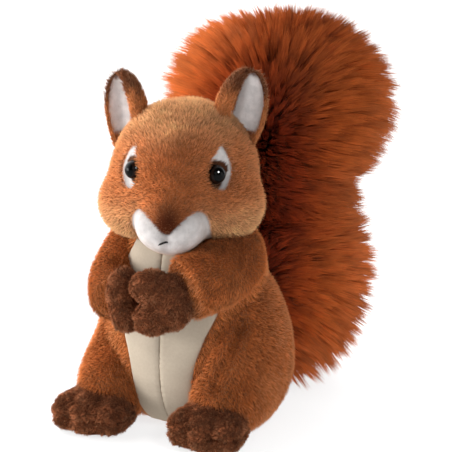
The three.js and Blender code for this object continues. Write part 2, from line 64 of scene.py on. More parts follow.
# stage: a white floor in a white room that is very bright behind the object and dim before it, a soft lamp
# near and low at the left, weak ones before the object and at its right, and a small one only for the glint
# in the eyes. The room's light falls from bright to dim as the way into the room turns towards the camera.
stageSet = {"floorSize": 60.0, "floor": (0.25, 0.25, 0.25, 1), "glow": 0.74, "bright": 4.8, "dim": 0.1,
            "rightward": 0.5, "fades": (-0.55, 0.35), "aim": (0.01, 0.03, 0.09),
            "key": {"at": (-0.64, -0.42, 0.12), "size": 0.45, "power": 6.0},
            "fill": {"at": (0.5, -1.2, 0.7), "size": 1.0, "power": 4.0},
            "rim": {"at": (0.78, 0.0, 0.26), "size": 0.5, "power": 1.3},
            "glint": {"at": (0.45, -0.30, 0.47), "size": 0.2, "power": 30.0}}
world = bpy.data.worlds.new("room")
world.use_nodes = True
roomNodes, roomLinks = world.node_tree.nodes, world.node_tree.links
way = roomNodes.new("ShaderNodeTexCoord")
facing = roomNodes.new("ShaderNodeVectorMath")
facing.operation = "DOT_PRODUCT"
towardDim = back + stageSet["rightward"] * right
facing.inputs[1].default_value = tuple(towardDim / np.linalg.norm(towardDim))
roomLinks.new(way.outputs["Generated"], facing.inputs[0])
strength = roomNodes.new("ShaderNodeMapRange")
strength.interpolation_type = "SMOOTHSTEP"
setSockets(strength, {"From Min": stageSet["fades"][0], "From Max": stageSet["fades"][1],
                      "To Min": stageSet["bright"], "To Max": stageSet["dim"]})
roomLinks.new(facing.outputs["Value"], strength.inputs["Value"])
roomLinks.new(strength.outputs["Result"], roomNodes["Background"].inputs["Strength"])
roomNodes["Background"].inputs["Color"].default_value = (1, 1, 1, 1)
scene.world = world
scene.view_settings.view_transform = "Standard"
floorMesh = bpy.data.meshes.new("floor")
half = stageSet["floorSize"] / 2
corners = [(-half, -half, 0), (half, -half, 0), (half, half, 0), (-half, half, 0)]
floorMesh.from_pydata(corners, [], [(0, 1, 2, 3)])
floor = bpy.data.objects.new("floor", floorMesh)
floorPaint = bpy.data.materials.new("floor_paint")
floorPaint.use_nodes = True
setSockets(floorPaint.node_tree.nodes["Principled BSDF"], {
    "Base Color": stageSet["floor"], "Roughness": 0.9, "Emission Color": (1, 1, 1, 1),
    "Emission Strength": stageSet["glow"]})
floorMesh.materials.append(floorPaint)
scene.collection.objects.link(floor)
for name in ("key", "fill", "rim", "glint"):
    lamp = stageSet[name]
    light = bpy.data.lights.new(name, "AREA")
    light.shape = "DISK"
    light.size = lamp["size"]
    light.energy = lamp["power"]
    lampObject = bpy.data.objects.new(name, light)
    lampObject.location = lamp["at"]
    aim = Vector(stageSet["aim"]) - Vector(lamp["at"])
    lampObject.rotation_euler = aim.to_track_quat("-Z", "Y").to_euler()
    lampObject.visible_diffuse = name != "glint"
    scene.collection.objects.link(lampObject)
print("camera and stage")


# soft forms: ellipsoids blended into one, less soft hollows. Each has a middle, three radii and a turn in
# degrees about the upright axis
def ball(at, size, turn=0.0):
    return {"at": np.array(at, float), "size": np.array(size, float), "turn": np.radians(turn)}


# nearly the distance to an ellipsoid: k (k - 1) / slope, k the length of the point scaled by the radii
def distanceToBall(points, one):
    q = points - one["at"]
    if one["turn"]:
        c, s = np.cos(-one["turn"]), np.sin(-one["turn"])
        q = np.stack([q[..., 0] * c - q[..., 1] * s, q[..., 0] * s + q[..., 1] * c, q[..., 2]], -1)
    k = np.sqrt(((q / one["size"]) ** 2).sum(-1))
    slope = np.sqrt(((q / one["size"] ** 2) ** 2).sum(-1))
    return k * (k - 1) / np.maximum(slope, 1e-9)


# soft minimum over the balls by summed exponentials, then a soft maximum with the inside of each hollow
def distanceTo(points, form):
    blend = form["blend"]
    total = np.logaddexp.reduce([-distanceToBall(points, one) / blend for one in form["balls"]])
    distance = -blend * total
    for one in form.get("hollows", []):
        distance = blend * np.logaddexp(distance / blend, -distanceToBall(points, one) / blend)
    return distance


# from far out along each way, steps in towards the heart, or another start, until it is grow above the form.
# Each step is part of the distance left, as that is only nearly right
stepsIn, stepShare = 60, 0.75


def drawnIn(form, ways, grow=0.0, reach=90.0, start=None):
    start = form["heart"] if start is None else start
    t = np.full(ways.shape[:-1], reach)
    for _ in range(stepsIn):
        t = t - (distanceTo(start + ways * t[..., None], form) - grow) * stepShare
    return start + ways * t[..., None]


# each vector over its own length
def unit(v):
    return v / np.maximum(np.linalg.norm(v, axis=-1, keepdims=True), 1e-9)


# 1 at nought, falling on both sides as e^(-x^2)
def bell(x):
    return np.exp(-(x**2))


# the same in space round a place, each axis over its own size
def bellAt(points, at, size):
    return np.exp(-(((points - at) / size) ** 2).sum(-1))


# 0 up to low, 1 from high, and 3 t^2 - 2 t^3 between them
def smoothStep(low, high, x):
    t = np.clip((x - low) / (high - low), 0, 1)
    return t * t * (3 - 2 * t)


# a (1 - t) + b t, for colours
def mix(a, b, t):
    return np.asarray(a) * (1 - t[..., None]) + np.asarray(b) * t[..., None]


# soft lumps about size across: the mean of seven sine waves with their own ways and phases
def lumps(points, size, seed):
    own = np.random.default_rng(seed)
    ways = unit(own.normal(size=(7, 3))) * (2 * np.pi / size) * own.uniform(0.7, 1.5, (7, 1))
    return np.sin(points @ ways.T + own.uniform(0, 6.28, 7)).mean(-1) * 1.8


# a way made of three such lumps, with three seeds on from the first
def wander(points, size, seed):
    return np.stack([lumps(points, size, seed + k) for k in range(3)], -1)


# the matrix of a turn about one axis: cosines on the diagonal, sines of both signs beside it
def turning(axis, degrees):
    a = np.radians(degrees)
    c, s = np.cos(a), np.sin(a)
    return np.array({"x": [[1, 0, 0], [0, c, -s], [0, s, c]], "y": [[c, 0, s], [0, 1, 0], [-s, 0, c]],
                     "z": [[c, -s, 0], [s, c, 0], [0, 0, 1]]}[axis])


# a smooth line through the points: cubic with tangents from each point's two neighbours
def smoothLine(points, perSpan, closed=False):
    p = np.array(points, float)
    if closed:
        p = np.concatenate([p[-1:], p, p[:2]])
    else:
        p = np.concatenate([2 * p[:1] - p[1:2], p, 2 * p[-1:] - p[-2:-1]])
    t = np.linspace(0, 1, perSpan, endpoint=False)[:, None, None]
    a, b, c, d = p[:-3], p[1:-2], p[2:-1], p[3:]
    line = 0.5 * (2 * b + (c - a) * t + (2 * a - 5 * b + 4 * c - d) * t**2 + (3 * b - a - 3 * c + d) * t**3)
    line = line.transpose(1, 0, 2).reshape(-1, p.shape[1])
    return line if closed else np.concatenate([line, p[-2:-1]])


# how far inside a closed flat outline each point lies: least distance to its sides, signed by crossings
def insideBy(flat, outline):
    shape = flat.shape[:-1]
    q = flat.reshape(-1, 1, 2)
    a = outline[None]
    side = np.roll(outline, -1, axis=0)[None] - a
    t = np.clip(((q - a) * side).sum(-1) / (side**2).sum(-1), 0, 1)
    away = np.sqrt(((q - a - side * t[..., None]) ** 2).sum(-1)).min(1)
    b = a + side
    rise = np.where(side[..., 1] == 0, 1e-9, side[..., 1])
    crosses = ((a[..., 1] > q[..., 1]) != (b[..., 1] > q[..., 1])) & (
        q[..., 0] < a[..., 0] + (q[..., 1] - a[..., 1]) * side[..., 0] / rise)
    return np.where(crosses.sum(1) % 2 == 1, away, -away).reshape(shape)


# a mesh from whole arrays: points in millimetres, faces as arrays of triangles or of quads, and a tint for
# each point
def meshObject(name, points, faces, tint, uv=None):
    mesh = bpy.data.meshes.new(name)
    mesh.vertices.add(len(points))
    mesh.vertices.foreach_set("co", (points * millimetre).astype(np.float32).ravel())
    corners = np.concatenate([f.ravel() for f in faces])
    sizes = np.concatenate([np.full(len(f), f.shape[1]) for f in faces])
    mesh.loops.add(len(corners))
    mesh.loops.foreach_set("vertex_index", corners.astype(np.int32))
    mesh.polygons.add(len(sizes))
    mesh.polygons.foreach_set("loop_start", (np.cumsum(sizes) - sizes).astype(np.int32))
    mesh.polygons.foreach_set("use_smooth", np.ones(len(sizes), bool))
    if uv is not None:
        mesh.uv_layers.new(name="OFBake").data.foreach_set("uv", uv.astype(np.float32).ravel())
    colours = np.concatenate([tint, np.ones((len(points), 1))], 1)
    painted = mesh.color_attributes.new("tint", "FLOAT_COLOR", "POINT")
    painted.data.foreach_set("color", colours.astype(np.float32).ravel())
    mesh.update()
    piece = bpy.data.objects.new(name, mesh)
    scene.collection.objects.link(piece)
    return piece


# ways from a ball's middle: rows from the lower pole to the upper one, columns round the upright axis
def ballWays(rows, columns, stretch=(1, 1, 1)):
    lift = np.linspace(-np.pi / 2, np.pi / 2, rows)[:, None]
    around = np.linspace(0, 2 * np.pi, columns, endpoint=False)[None]
    flat = np.cos(lift)
    ways = np.stack([flat * np.cos(around), flat * np.sin(around), np.sin(lift) + 0 * around], -1)
    return unit(ways * np.array(stretch))


# closes a grid of rows, each going round, by one point at each end
def closedFaces(rows, columns):
    ring = 1 + np.arange(rows - 2)[:, None] * columns + np.arange(columns)[None]
    after = np.roll(ring, -1, axis=1)
    quads = np.stack([ring[:-1], after[:-1], after[1:], ring[1:]], -1).reshape(-1, 4)
    low = np.stack([np.zeros_like(ring[0]), after[0], ring[0]], -1)
    high = np.stack([ring[-1], after[-1], np.full_like(ring[0], 1 + (rows - 2) * columns)], -1)
    return [quads, low, high]


# the grid's points in that order: one for each end row, all of the others
def closedPoints(grid):
    return np.concatenate([grid[0, :1], grid[1:-1].reshape(-1, grid.shape[-1]), grid[-1, :1]])


# each point's outward way: the turn of the way round into the way up
def gridNormals(grid):
    up = np.gradient(grid, axis=0)
    around = np.roll(grid, -1, axis=1) - np.roll(grid, 1, axis=1)
    normals = unit(np.cross(around, up))
    for end, beside in ((0, 1), (-1, -2)):
        normals[end] = unit(normals[beside].mean(0))
    return normals


# the grid moved out along its normals by lumps
def swollen(grid, rise, size, seed):
    return grid + gridNormals(grid) * (rise * lumps(grid, size, seed))[..., None]


# a smooth closed skin from a grid
def skinFrom(name, grid, tint):
    return meshObject(name, closedPoints(grid), closedFaces(*grid.shape[:2]), closedPoints(tint))


# the same roots, less those that don't stay
def kept(roots, stay):
    return {key: value[stay] for key, value in roots.items()}


# roots spread evenly by area over a grid: faces are met in step with their summed area, then a place in each
def scatter(grid, density, keep=None):
    normals = gridNormals(grid)
    nextAround = np.roll(grid, -1, axis=1)
    area = np.linalg.norm(np.cross(nextAround[1:] - grid[:-1], nextAround[:-1] - grid[1:]), axis=-1) / 2
    summed = np.cumsum(area.ravel())
    count = int(summed[-1] * density)
    pick = np.searchsorted(summed, (np.arange(count) + rng.random(count)) / count * summed[-1])
    row, column = np.divmod(np.minimum(pick, area.size - 1), grid.shape[1])
    a, b = rng.random(count), rng.random(count)

    # the four corners of a face, each by its share: (1 - a) or a, times (1 - b) or b
    def between(values):
        there = np.roll(values, -1, axis=1)
        return (values[row, column] * ((1 - a) * (1 - b))[:, None]
                + there[row, column] * (a * (1 - b))[:, None]
                + values[row + 1, column] * ((1 - a) * b)[:, None]
                + there[row + 1, column] * (a * b)[:, None])

    made = {"root": between(grid), "normal": unit(between(normals)),
            "uv": np.stack([(column + a) / grid.shape[1], (row + b) / (grid.shape[0] - 1)], -1)}
    return made if keep is None else kept(made, keep(made["root"]))


# Tufts as three-sided tapering spikes. The middle line is root + way t + bend t^2 with t from 0 to 1, and its
# width falls as (1 - t)^taper. Each has its own small patch of the unwrap at its root's place.
spikeSet = {"corners": ((1, -0.35), (0, 0.6), (-1, -0.35)), "patch": 0.003, "toTip": 1.3}


def tuftPiece(name, root, way, bend, across, width, rootTint, tipTint, uv, rings, taper=0.6):
    count = len(root)
    steps = np.arange(rings) / rings
    t = steps[None, :, None]
    middle = root[:, None] + way[:, None] * t + bend[:, None] * t**2
    ahead = unit(way[:, None] + 2 * bend[:, None] * t)
    side = unit(across[:, None] - ahead * (across[:, None] * ahead).sum(-1, keepdims=True))
    face = np.cross(ahead, side)
    half = (width[:, None] * (1 - steps[None]) ** taper / 2)[..., None]
    corners = [middle + half * (x * side + y * face) for x, y in spikeSet["corners"]]
    points = np.stack(corners, 2).reshape(count, rings * 3, 3)
    points = np.concatenate([points, (root + way + bend)[:, None]], 1)
    faces = [(0, 2, 1)]
    for ring in range(rings - 1):
        for k in range(3):
            p, q = ring * 3 + k, ring * 3 + (k + 1) % 3
            faces += [(p, q, q + 3), (p, q + 3, p + 3)]
    last = (rings - 1) * 3
    faces += [(last + k, last + (k + 1) % 3, rings * 3) for k in range(3)]
    faces = np.array(faces)
    each = rings * 3 + 1
    triangles = (faces[None] + (np.arange(count) * each)[:, None, None]).reshape(-1, 3)
    along = np.append(np.repeat(steps, 3), 1.0)
    patch = np.stack([np.append(np.tile([0.0, 0.5, 1.0], rings), 0.5), along], -1)
    patch = patch * spikeSet["patch"] - spikeSet["patch"] / 2
    cornerUv = (uv[:, None, None] + patch[faces][None]).reshape(-1, 2)
    toTip = (along ** spikeSet["toTip"])[None, :, None]
    tint = rootTint[:, None] + (tipTint - rootTint)[:, None] * toTip
    return meshObject(name, points.reshape(-1, 3), [triangles], np.clip(tint, 0, 1).reshape(-1, 3), cornerUv)


# the index of the nearest centre to each point: the least of |c|^2 - 2 p.c, so many pairs at a time
pairsAtOnce = 4000000


def nearestOf(points, centres):
    square = (centres**2).sum(-1)
    parts = np.array_split(points, max(1, len(points) * len(centres) // pairsAtOnce))
    return np.concatenate([(square - 2 * part @ centres.T).argmin(1) for part in parts])


# Plush: spikes of one length that lean over along the lie, with some unevenness in length, lean and tone.
# Their tips are drawn by the share gather to the tips of the tufts picked as centres, so many to a square
# millimetre. The tint is times dark at the root, as painted shade deep in the pile, and times tip at the tip,
# as painted light on the tips.
pileSet = {"spread": 0.35, "leans": 9.0, "lengths": (0.75, 1.2), "sunk": 0.3, "floor": 0.2, "drop": 0.35,
           "bend": 0.3}


def plush(name, roots, lie, tint, length, lean, width, density, dark, tip, uneven, gather=0.4, centres=0.9,
          curl=0.0):
    root, normal = roots["root"], roots["normal"]
    count = len(root)
    lie = lie + pileSet["spread"] * rng.normal(size=(count, 3))
    lie = unit(lie - normal * (lie * normal).sum(-1, keepdims=True))
    lean = np.radians(np.broadcast_to(lean, count) + rng.normal(0, pileSet["leans"], count))[:, None]
    long = (np.broadcast_to(length, count) * rng.uniform(*pileSet["lengths"], count))[:, None]
    way = (normal * np.cos(lean * 0.7) + lie * np.sin(lean * 0.7)) * long
    bend = (lie * np.sin(lean) - normal * pileSet["drop"]) * long * pileSet["bend"]
    if curl:
        bend = bend + curl * long * unit(rng.normal(size=(count, 3)))
    picked = rng.permutation(count)[:max(1, int(count * centres / density))]
    nearest = nearestOf(root, root[picked])
    gather = np.broadcast_to(gather, count)[:, None]
    way = way + gather * ((root + way)[picked][nearest] - root - way)
    root = root - pileSet["sunk"] * normal
    way[:, 2] = np.maximum(way[:, 2], pileSet["floor"] - (root + bend)[:, 2])
    uneven, dark, tip = (np.broadcast_to(value, count)[:, None] for value in (uneven, dark, tip))
    ownTone = 1 + 0.6 * uneven * rng.uniform(-1, 1, count)[:, None]
    tuftTone = 1 + 0.7 * uneven * rng.uniform(-1, 1, count)[picked][nearest][:, None]
    tint = tint * (ownTone * tuftTone)
    # painted shade at the roots (tint times dark) and painted light at the tips (tint times tip)
    return tuftPiece(name, root, way, bend, unit(np.cross(normal, lie)), np.broadcast_to(width, count),
                     tint * dark, tint * tip, roots["uv"], 1)


# materials: the tint that skin and tufts share, times 1 - amount to 1 + amount as fine noise goes across its
# range
def tintedPaint(name, scale, amount, detail, across, sockets):
    paint = bpy.data.materials.new(name)
    paint.use_nodes = True
    nodes, links = paint.node_tree.nodes, paint.node_tree.links
    tint = nodes.new("ShaderNodeAttribute")
    tint.attribute_name = "tint"
    place = nodes.new("ShaderNodeTexCoord")
    noise = nodes.new("ShaderNodeTexNoise")
    setSockets(noise, {"Scale": scale, "Detail": detail})
    links.new(place.outputs["Object"], noise.inputs["Vector"])
    tone = nodes.new("ShaderNodeMapRange")
    setSockets(tone, {"From Min": across[0], "From Max": across[1],
                      "To Min": 1 - amount, "To Max": 1 + amount})
    links.new(noise.outputs["Fac"], tone.inputs["Value"])
    scaled = nodes.new("ShaderNodeVectorMath")
    scaled.operation = "SCALE"
    links.new(tint.outputs["Color"], scaled.inputs[0])
    links.new(tone.outputs["Result"], scaled.inputs["Scale"])
    links.new(scaled.outputs["Vector"], nodes["Principled BSDF"].inputs["Base Color"])
    setSockets(nodes["Principled BSDF"], sockets)
    return paint, place


# dull pile with a warm sheen, in low relief by a finer noise
def fabricPaint(name, scale, amount, roughness, sheen, bump=0.0, bumpScale=900.0, bumpDepth=0.0004):
    paint, place = tintedPaint(name, scale, amount, 4.0, (0.3, 0.7), {
        "Roughness": roughness, "Specular IOR Level": 0.01, "Sheen Weight": sheen, "Sheen Roughness": 0.4,
        "Sheen Tint": (1.0, 0.6, 0.34, 1)})
    if bump:
        nodes, links = paint.node_tree.nodes, paint.node_tree.links
        pile = nodes.new("ShaderNodeTexNoise")
        setSockets(pile, {"Scale": bumpScale, "Detail": 3.0})
        links.new(place.outputs["Object"], pile.inputs["Vector"])
        relief = nodes.new("ShaderNodeBump")
        setSockets(relief, {"Strength": bump, "Distance": bumpDepth})
        links.new(pile.outputs["Fac"], relief.inputs["Height"])
        links.new(relief.outputs["Normal"], nodes["Principled BSDF"].inputs["Normal"])
    return paint


fabricSet = {
    "rust_plush": {"scale": 260, "amount": 0.14, "roughness": 0.9, "sheen": 0.42, "bump": 0.6},
    "dark_plush": {"scale": 400, "amount": 0.2, "roughness": 0.9, "sheen": 0.3, "bump": 0.7},
    "cream_velour": {"scale": 900, "amount": 0.035, "roughness": 0.9, "sheen": 0.2, "bump": 0.35,
                     "bumpScale": 2400, "bumpDepth": 0.0002},
    "tail_pile": {"scale": 200, "amount": 0.12, "roughness": 0.8, "sheen": 0.14},
    "mouth_thread": {"scale": 1500, "amount": 0.3, "roughness": 0.7, "sheen": 0.1},
}
paints = {name: fabricPaint(name, **own) for name, own in fabricSet.items()}
paints["bead_eye"] = tintedPaint("bead_eye", 900, 0.3, 2.0, (0.0, 1.0), {
    "Roughness": 0.06, "IOR": 1.22, "Specular IOR Level": 0.3})[0]


# a piece's material, its place in the part and what it stands for
def dress(piece, slot, nodes=()):
    piece.data.materials.append(paints[slot])
    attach(piece, "root")
    if nodes:
        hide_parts(*nodes)
    print(piece.name, len(piece.data.polygons), "faces")


sides = {"left": 1, "right": -1}
# the short pile: how deep the skins lie in it, and how far inside a neighbour its tufts stop
coat = {"depth": 1.7, "cutAt": -2.4}
tints = {"rust": (0.47, 0.130, 0.034), "face": (0.57, 0.19, 0.062), "pale": (0.78, 0.39, 0.175),
         "deep": (0.49, 0.14, 0.041), "white": (0.52, 0.49, 0.48), "dark": (0.165, 0.051, 0.021),
         "nose": (0.07, 0.012, 0.003), "cream": (0.41, 0.345, 0.27)}
tints = {name: np.array(rgb) for name, rgb in tints.items()}

# the whole forms of the body, which the tufts of one keep out of the next
torsoForm = {"heart": np.array([0, 1, 48.0]), "blend": 6, "balls": [
    ball([0, 4, 34], [47, 38, 43]), ball([2, 0, 76], [38, 31, 34])]}
thighForms = {
    "left": {"heart": np.array([32, -6, 24.0]), "blend": 5, "balls": [
        ball([34, 0, 28], [17, 33, 30], -6), ball([29, -23, 16], [15, 19, 16]),
        ball([27.5, 6, 52], [18, 24, 27])]},
    "right": {"heart": np.array([-32, -6, 24.0]), "blend": 5, "balls": [
        ball([-33, -1, 20], [18, 32, 25], 6), ball([-29, -23, 16], [15, 19, 16]),
        ball([-26.5, 2, 45], [17, 24, 26])]}}
footSet = {"forward": 31.0, "toeAhead": 13.4, "toeSize": [7.5, 10, 9.0],
           "left": {"at": 28.0, "width": 34.0, "height": 23.5, "toe": 11.5},
           "right": {"at": -32.0, "width": 37.0, "height": 22.5, "toe": 12.2}}


# a low ball for the foot and three before it for the toes, the middle one furthest ahead
def footForm(side):
    own, y = footSet[side], -footSet["forward"]
    toes = [ball([own["at"] + i * own["toe"], y - footSet["toeAhead"] + 2 * abs(i), 9], footSet["toeSize"])
            for i in (-1, 0, 1)]
    return {"heart": np.array([own["at"], y - 6, 10.5]), "blend": 2.3,
            "balls": [ball([own["at"], y, 8], [own["width"] / 2, 19, own["height"] - 8])] + toes}


footForms = {side: footForm(side) for side in sides}
pawForms = {
    "left": {"heart": np.array([11, -47, 70.0]), "blend": 1.6, "balls": [
        ball([14, -46, 69.5], [10, 10, 14]), ball([4.5, -50, 76.5], [10.5, 9, 9]),
        ball([4.5, -49.5, 61.5], [9.5, 9, 8.5])]},
    "right": {"heart": np.array([-11, -46, 68.0]), "blend": 1.6, "balls": [
        ball([-12, -44, 71], [8.5, 10, 13]), ball([-8, -48, 61], [8, 9, 8])]}}
headForm = {"heart": np.array([0, -4, -4.0]), "blend": 4, "balls": [
    ball([0, 4, 4], [34.5, 32, 33]), ball([0, -16, 6], [19, 18, 17]), ball([0, -24, -18], [16, 15, 13]),
    ball([21.5, -6, -12], [18, 19, 17]), ball([-21.5, -6, -12], [18, 19, 17])],
    "hollows": [ball([32, -29, 7], [8, 9, 11]), ball([-32, -29, 7], [8, 9, 11])]}
headAt, headTurn = np.array([3.3, -10, 121.0]), turning("z", 12)
armSet = {"left": {"path": [[12, 9, 92], [27.5, -8, 83.5], [27.5, -29, 79], [19, -41, 75.5]],
                   "thick": 16.5, "taper": 0.04},
          "right": {"path": [[-8, 9, 94], [-23.5, -6, 86], [-25, -26, 71], [-17, -40, 67]],
                    "thick": 14.5, "taper": 0.1}}
armLines = {side: smoothLine(armSet[side]["path"], 16) for side in sides}


# into the head's own frame: less its place, then turned back
def toHead(points):
    return (points - headAt) @ headTurn


# out of it: turned, then moved to its place
def fromHead(points):
    return points @ headTurn.T + headAt


# the arm's radius along its line, t from 0 to 1: thick times 1 - taper t, and less before t is about 0.2
def armRadius(t, side):
    return armSet[side]["thick"] * np.minimum(1, 0.55 + 2.2 * t) * (1 - armSet[side]["taper"] * t)


# the least distance to the points of the arm's line, each less the radius there
def armDistance(points, side):
    line = armLines[side]
    away = np.sqrt(((points[:, None] - line[None, ::2]) ** 2).sum(-1))
    t = np.arange(len(line))[::2] / (len(line) - 1)
    return (away - armRadius(t, side)[None]).min(1)


# the least of each point's distances to the pieces of the body but its own
def clearOf(points, own):
    parts = {"torso": lambda p: distanceTo(p, torsoForm), "head": lambda p: distanceTo(toHead(p), headForm)}
    for side in sides:
        parts["thigh_" + side] = lambda p, s=side: distanceTo(p, thighForms[s])
        parts["foot_" + side] = lambda p, s=side: distanceTo(p, footForms[s])
        parts["paw_" + side] = lambda p, s=side: distanceTo(p, pawForms[s])
        parts["arm_" + side] = lambda p, s=side: armDistance(p, s)
    return np.min([measure(points) for name, measure in parts.items() if name not in own], axis=0)


# head
headSet = {"rows": 150, "columns": 220, "eyeRadius": 4.4, "density": 2.8, "length": 3.1, "inWhite": 0.12,
           "noseTip": np.array([0, -38, -17.5]), "muzzleRise": 3.1, "groove": 1.5, "leafDip": 0.7,
           "bridge": 1.2, "brow": 1.6, "nose": 1.6,
           "left": {"eye": np.array([20.5, -22.5, 5.0]), "faces": 48.0, "leaf": [
               [4.0, 12.5], [-2.5, 7.5], [-4.4, 2.0], [-2.6, -3.5], [2.2, -7.8], [7.4, -3.5], [9.2, 2.5],
               [7.0, 8.5]]},
           "right": {"eye": np.array([-18.6, -24.0, 6.4]), "faces": -46.0, "leaf": [
               [0.8, 10.8], [-3.2, 6.0], [-4.1, 0], [-2.2, -5.5], [2.5, -9.2], [8.0, -5.5], [10.6, 0.8],
               [6.5, 6.5]]},
           "lobes": [[[4.2, -17.5], [8.4, -12.8], [12.6, -10.8], [16.6, -14], [17.6, -20.5], [15.6, -27.5],
                      [9.6, -33], [3.5, -35.5]],
                     [[5, -16.5], [10.5, -12], [15, -11], [18.5, -15], [19, -21], [16.5, -27.5], [10, -33],
                      [3.5, -35.5]]]}
leftLobe, rightLobe = headSet["lobes"]
muzzleOutline = smoothLine([[0, -20.5]] + leftLobe + [[-x, z] for x, z in rightLobe[::-1]], 4, closed=True)


# how far each point lies outwards along the face from an eye, up from it and behind it
def besideEye(points, side):
    own, sign = headSet[side], sides[side]
    a = np.radians(own["faces"])
    x, y, z = np.moveaxis(points - own["eye"], -1, 0)
    return sign * (x * np.cos(a) + y * np.sin(a)), z, -x * np.sin(a) + y * np.cos(a)


# how far inside the muzzle's outline and inside an eye's leaf each point lies
def headMarks(points):
    front = points[..., 1] < -14
    muzzle = np.where(front, insideBy(points[..., [0, 2]], muzzleOutline), -9)
    leaves = []
    for side in sides:
        out, high, deep = besideEye(points, side)
        outline = smoothLine(headSet[side]["leaf"], 4, closed=True)
        leaves.append(np.where(deep < 5, insideBy(np.stack([out, high], -1), outline), -9))
    return muzzle, np.maximum(*leaves)


# the dark felt round an eye, drawn out to a point at its outer corner: 1 inside two half ellipses that share
# their height, one short towards the nose and one long away from it
def lid(points, side):
    out, up, deep = besideEye(points, side)
    drawn = np.where(out > 0, out / 7.6, out / 5.0)
    high = (up - 0.35 - 0.22 * np.maximum(out, 0)) / (5.2 * np.sqrt(np.clip(1 - drawn**2, 0.01, 1)))
    return smoothStep(1.12, 0.95, np.sqrt(drawn**2 * 0.2 + high**2)) * (deep < 5) * (np.abs(drawn) < 1)


# the distance to a place, each axis over its own size
def gapTo(points, at, size=1):
    return np.linalg.norm((points - at) / size, axis=-1)


# the same to the nearer eye
def eyeGap(points, size=1):
    return np.minimum(*[gapTo(points, headSet[side]["eye"], size) for side in sides])


# the face's tint mixed towards others, each by a soft step or bell of the place, then the white and dark
# parts
def headTint(points):
    muzzle, leaves = headMarks(points)
    x, y, z = np.moveaxis(points, -1, 0)
    tint = mix(tints["face"], tints["pale"], smoothStep(8, 34, z + 5 * lumps(points, 25, 3)) * 0.85)  # brow
    tint = mix(tint, tints["pale"], smoothStep(-2, -20, z) * smoothStep(5, 20, np.abs(x)) * 0.9)  # cheeks
    middle = smoothStep(17, 6, np.abs(x)) * smoothStep(-16, -26, y) * smoothStep(24, 10, z)
    tint = mix(tint, tints["deep"], 0.8 * middle)
    tint = mix(tint, tints["rust"], smoothStep(2, 28, y) * 0.7)  # back of the head
    tint = tint * (1 + 0.17 * lumps(points, 9, 4) + 0.12 * lumps(points, 4, 14))[..., None]
    near = eyeGap(points, [1, 1, 1.25])
    # painted shade: darker round the eyes, where they sit sunk under the brows
    tint = mix(tint, tints["deep"], 0.75 * bell(near / 13))
    tip = gapTo(points, headSet["noseTip"], [1, 1, 1.3])
    tint = mix(tint, tints["nose"], 0.97 * smoothStep(12.5, 3.0, tip))
    inside = np.maximum(muzzle, leaves)
    # painted shade: the white darker within 4.5 mm of its edge, where it meets the brown pile
    white = mix(tints["white"], tints["white"] * 0.86, smoothStep(4.5, 0, inside))
    tint = mix(tint, white, smoothStep(-0.3, 0.4, inside))
    rim = np.maximum(smoothStep(5.9, 5.2, near), np.maximum(*[lid(points, side) for side in sides]))
    return mix(tint, tints["dark"] * 0.3, rim)


# the head's form less the coat's depth, with a raised muzzle split by a groove, brows, a bridge and a nose as
# bells, and a dip in each leaf
def headSkin():
    ways = ballWays(headSet["rows"], headSet["columns"])
    first = drawnIn(headForm, ways)
    muzzle, leaves = headMarks(first)
    raised = headSet["muzzleRise"] * smoothStep(-0.6, 6.0, muzzle) + 0.3 * lumps(first, 22, 5)
    raised = raised - (headSet["groove"] * bell(first[..., 0] / 1.6) * smoothStep(-1, 1, muzzle)
                       * smoothStep(-30, -24, first[..., 2]))
    bridge = bell(gapTo(first, [0, -33, 0], [9, 12, 16]))
    brows = sum(bellAt(first, [sign * 19, -24, 15], [8, 10, 4.5]) for sign in sides.values())
    nose = bellAt(first, [0, -37, -16], [5.5, 9, 5])
    shaped = (headSet["bridge"] * bridge + headSet["brow"] * brows + headSet["nose"] * nose
              - headSet["leafDip"] * smoothStep(0, 2, leaves))
    return drawnIn(headForm, ways, -coat["depth"] + raised + shaped)


headGrid = headSkin()
headWhite = smoothStep(0, 1, np.maximum(*headMarks(headGrid)))[..., None]
# painted shade: the skin outside the white parts darkened to 0.6, for the shade deep in the pile
headPiece = skinFrom("head_skin", fromHead(headGrid), headTint(headGrid) * (0.6 + 0.4 * headWhite))
dress(headPiece, "rust_plush", ["head", "muzzle", "eye_patch_left", "eye_patch_right"])


# the pile lies away from the nose, then down and back over the cheeks. In the white parts it is short, flat
# and sparse, so that the skin's own white shows
def headCoat():
    roots = scatter(headGrid, headSet["density"])
    p = roots["root"]
    inWhite = np.maximum(*headMarks(p))
    stay = (clearOf(fromHead(p), ["head"]) > coat["cutAt"]) & (
        eyeGap(p) > headSet["eyeRadius"] + 0.1) & (
        (inWhite < 1.0) | (rng.random(len(p)) < headSet["inWhite"]))
    roots, white = kept(roots, stay), inWhite[stay] > 0
    p = roots["root"]
    lie = unit(p - np.array([0, -36, -16])) + np.array([0, 0.15, -0.35]) + 0.35 * wander(p, 16, 6)
    faceward = smoothStep(10, -28, p[:, 1])
    length = headSet["length"] * (1.15 - 0.3 * faceward)
    length = length * np.where(white, 0.4, 0.4 + 0.6 * smoothStep(3, 15, gapTo(p, headSet["noseTip"])))
    roots["root"], roots["normal"] = fromHead(p), roots["normal"] @ headTurn.T
    return plush("head_coat", roots, lie @ headTurn.T, headTint(p), length, density=headSet["density"],
                 lean=np.where(white, 78, 50), width=np.where(white, 0.3, 0.42),
                 dark=np.where(white, 1.0, 0.42), tip=np.where(white, 1.0, 1.4),
                 uneven=np.where(white, 0.0, 0.2), gather=np.where(white, 0, 0.4))


dress(headCoat(), "rust_plush")
print("head")

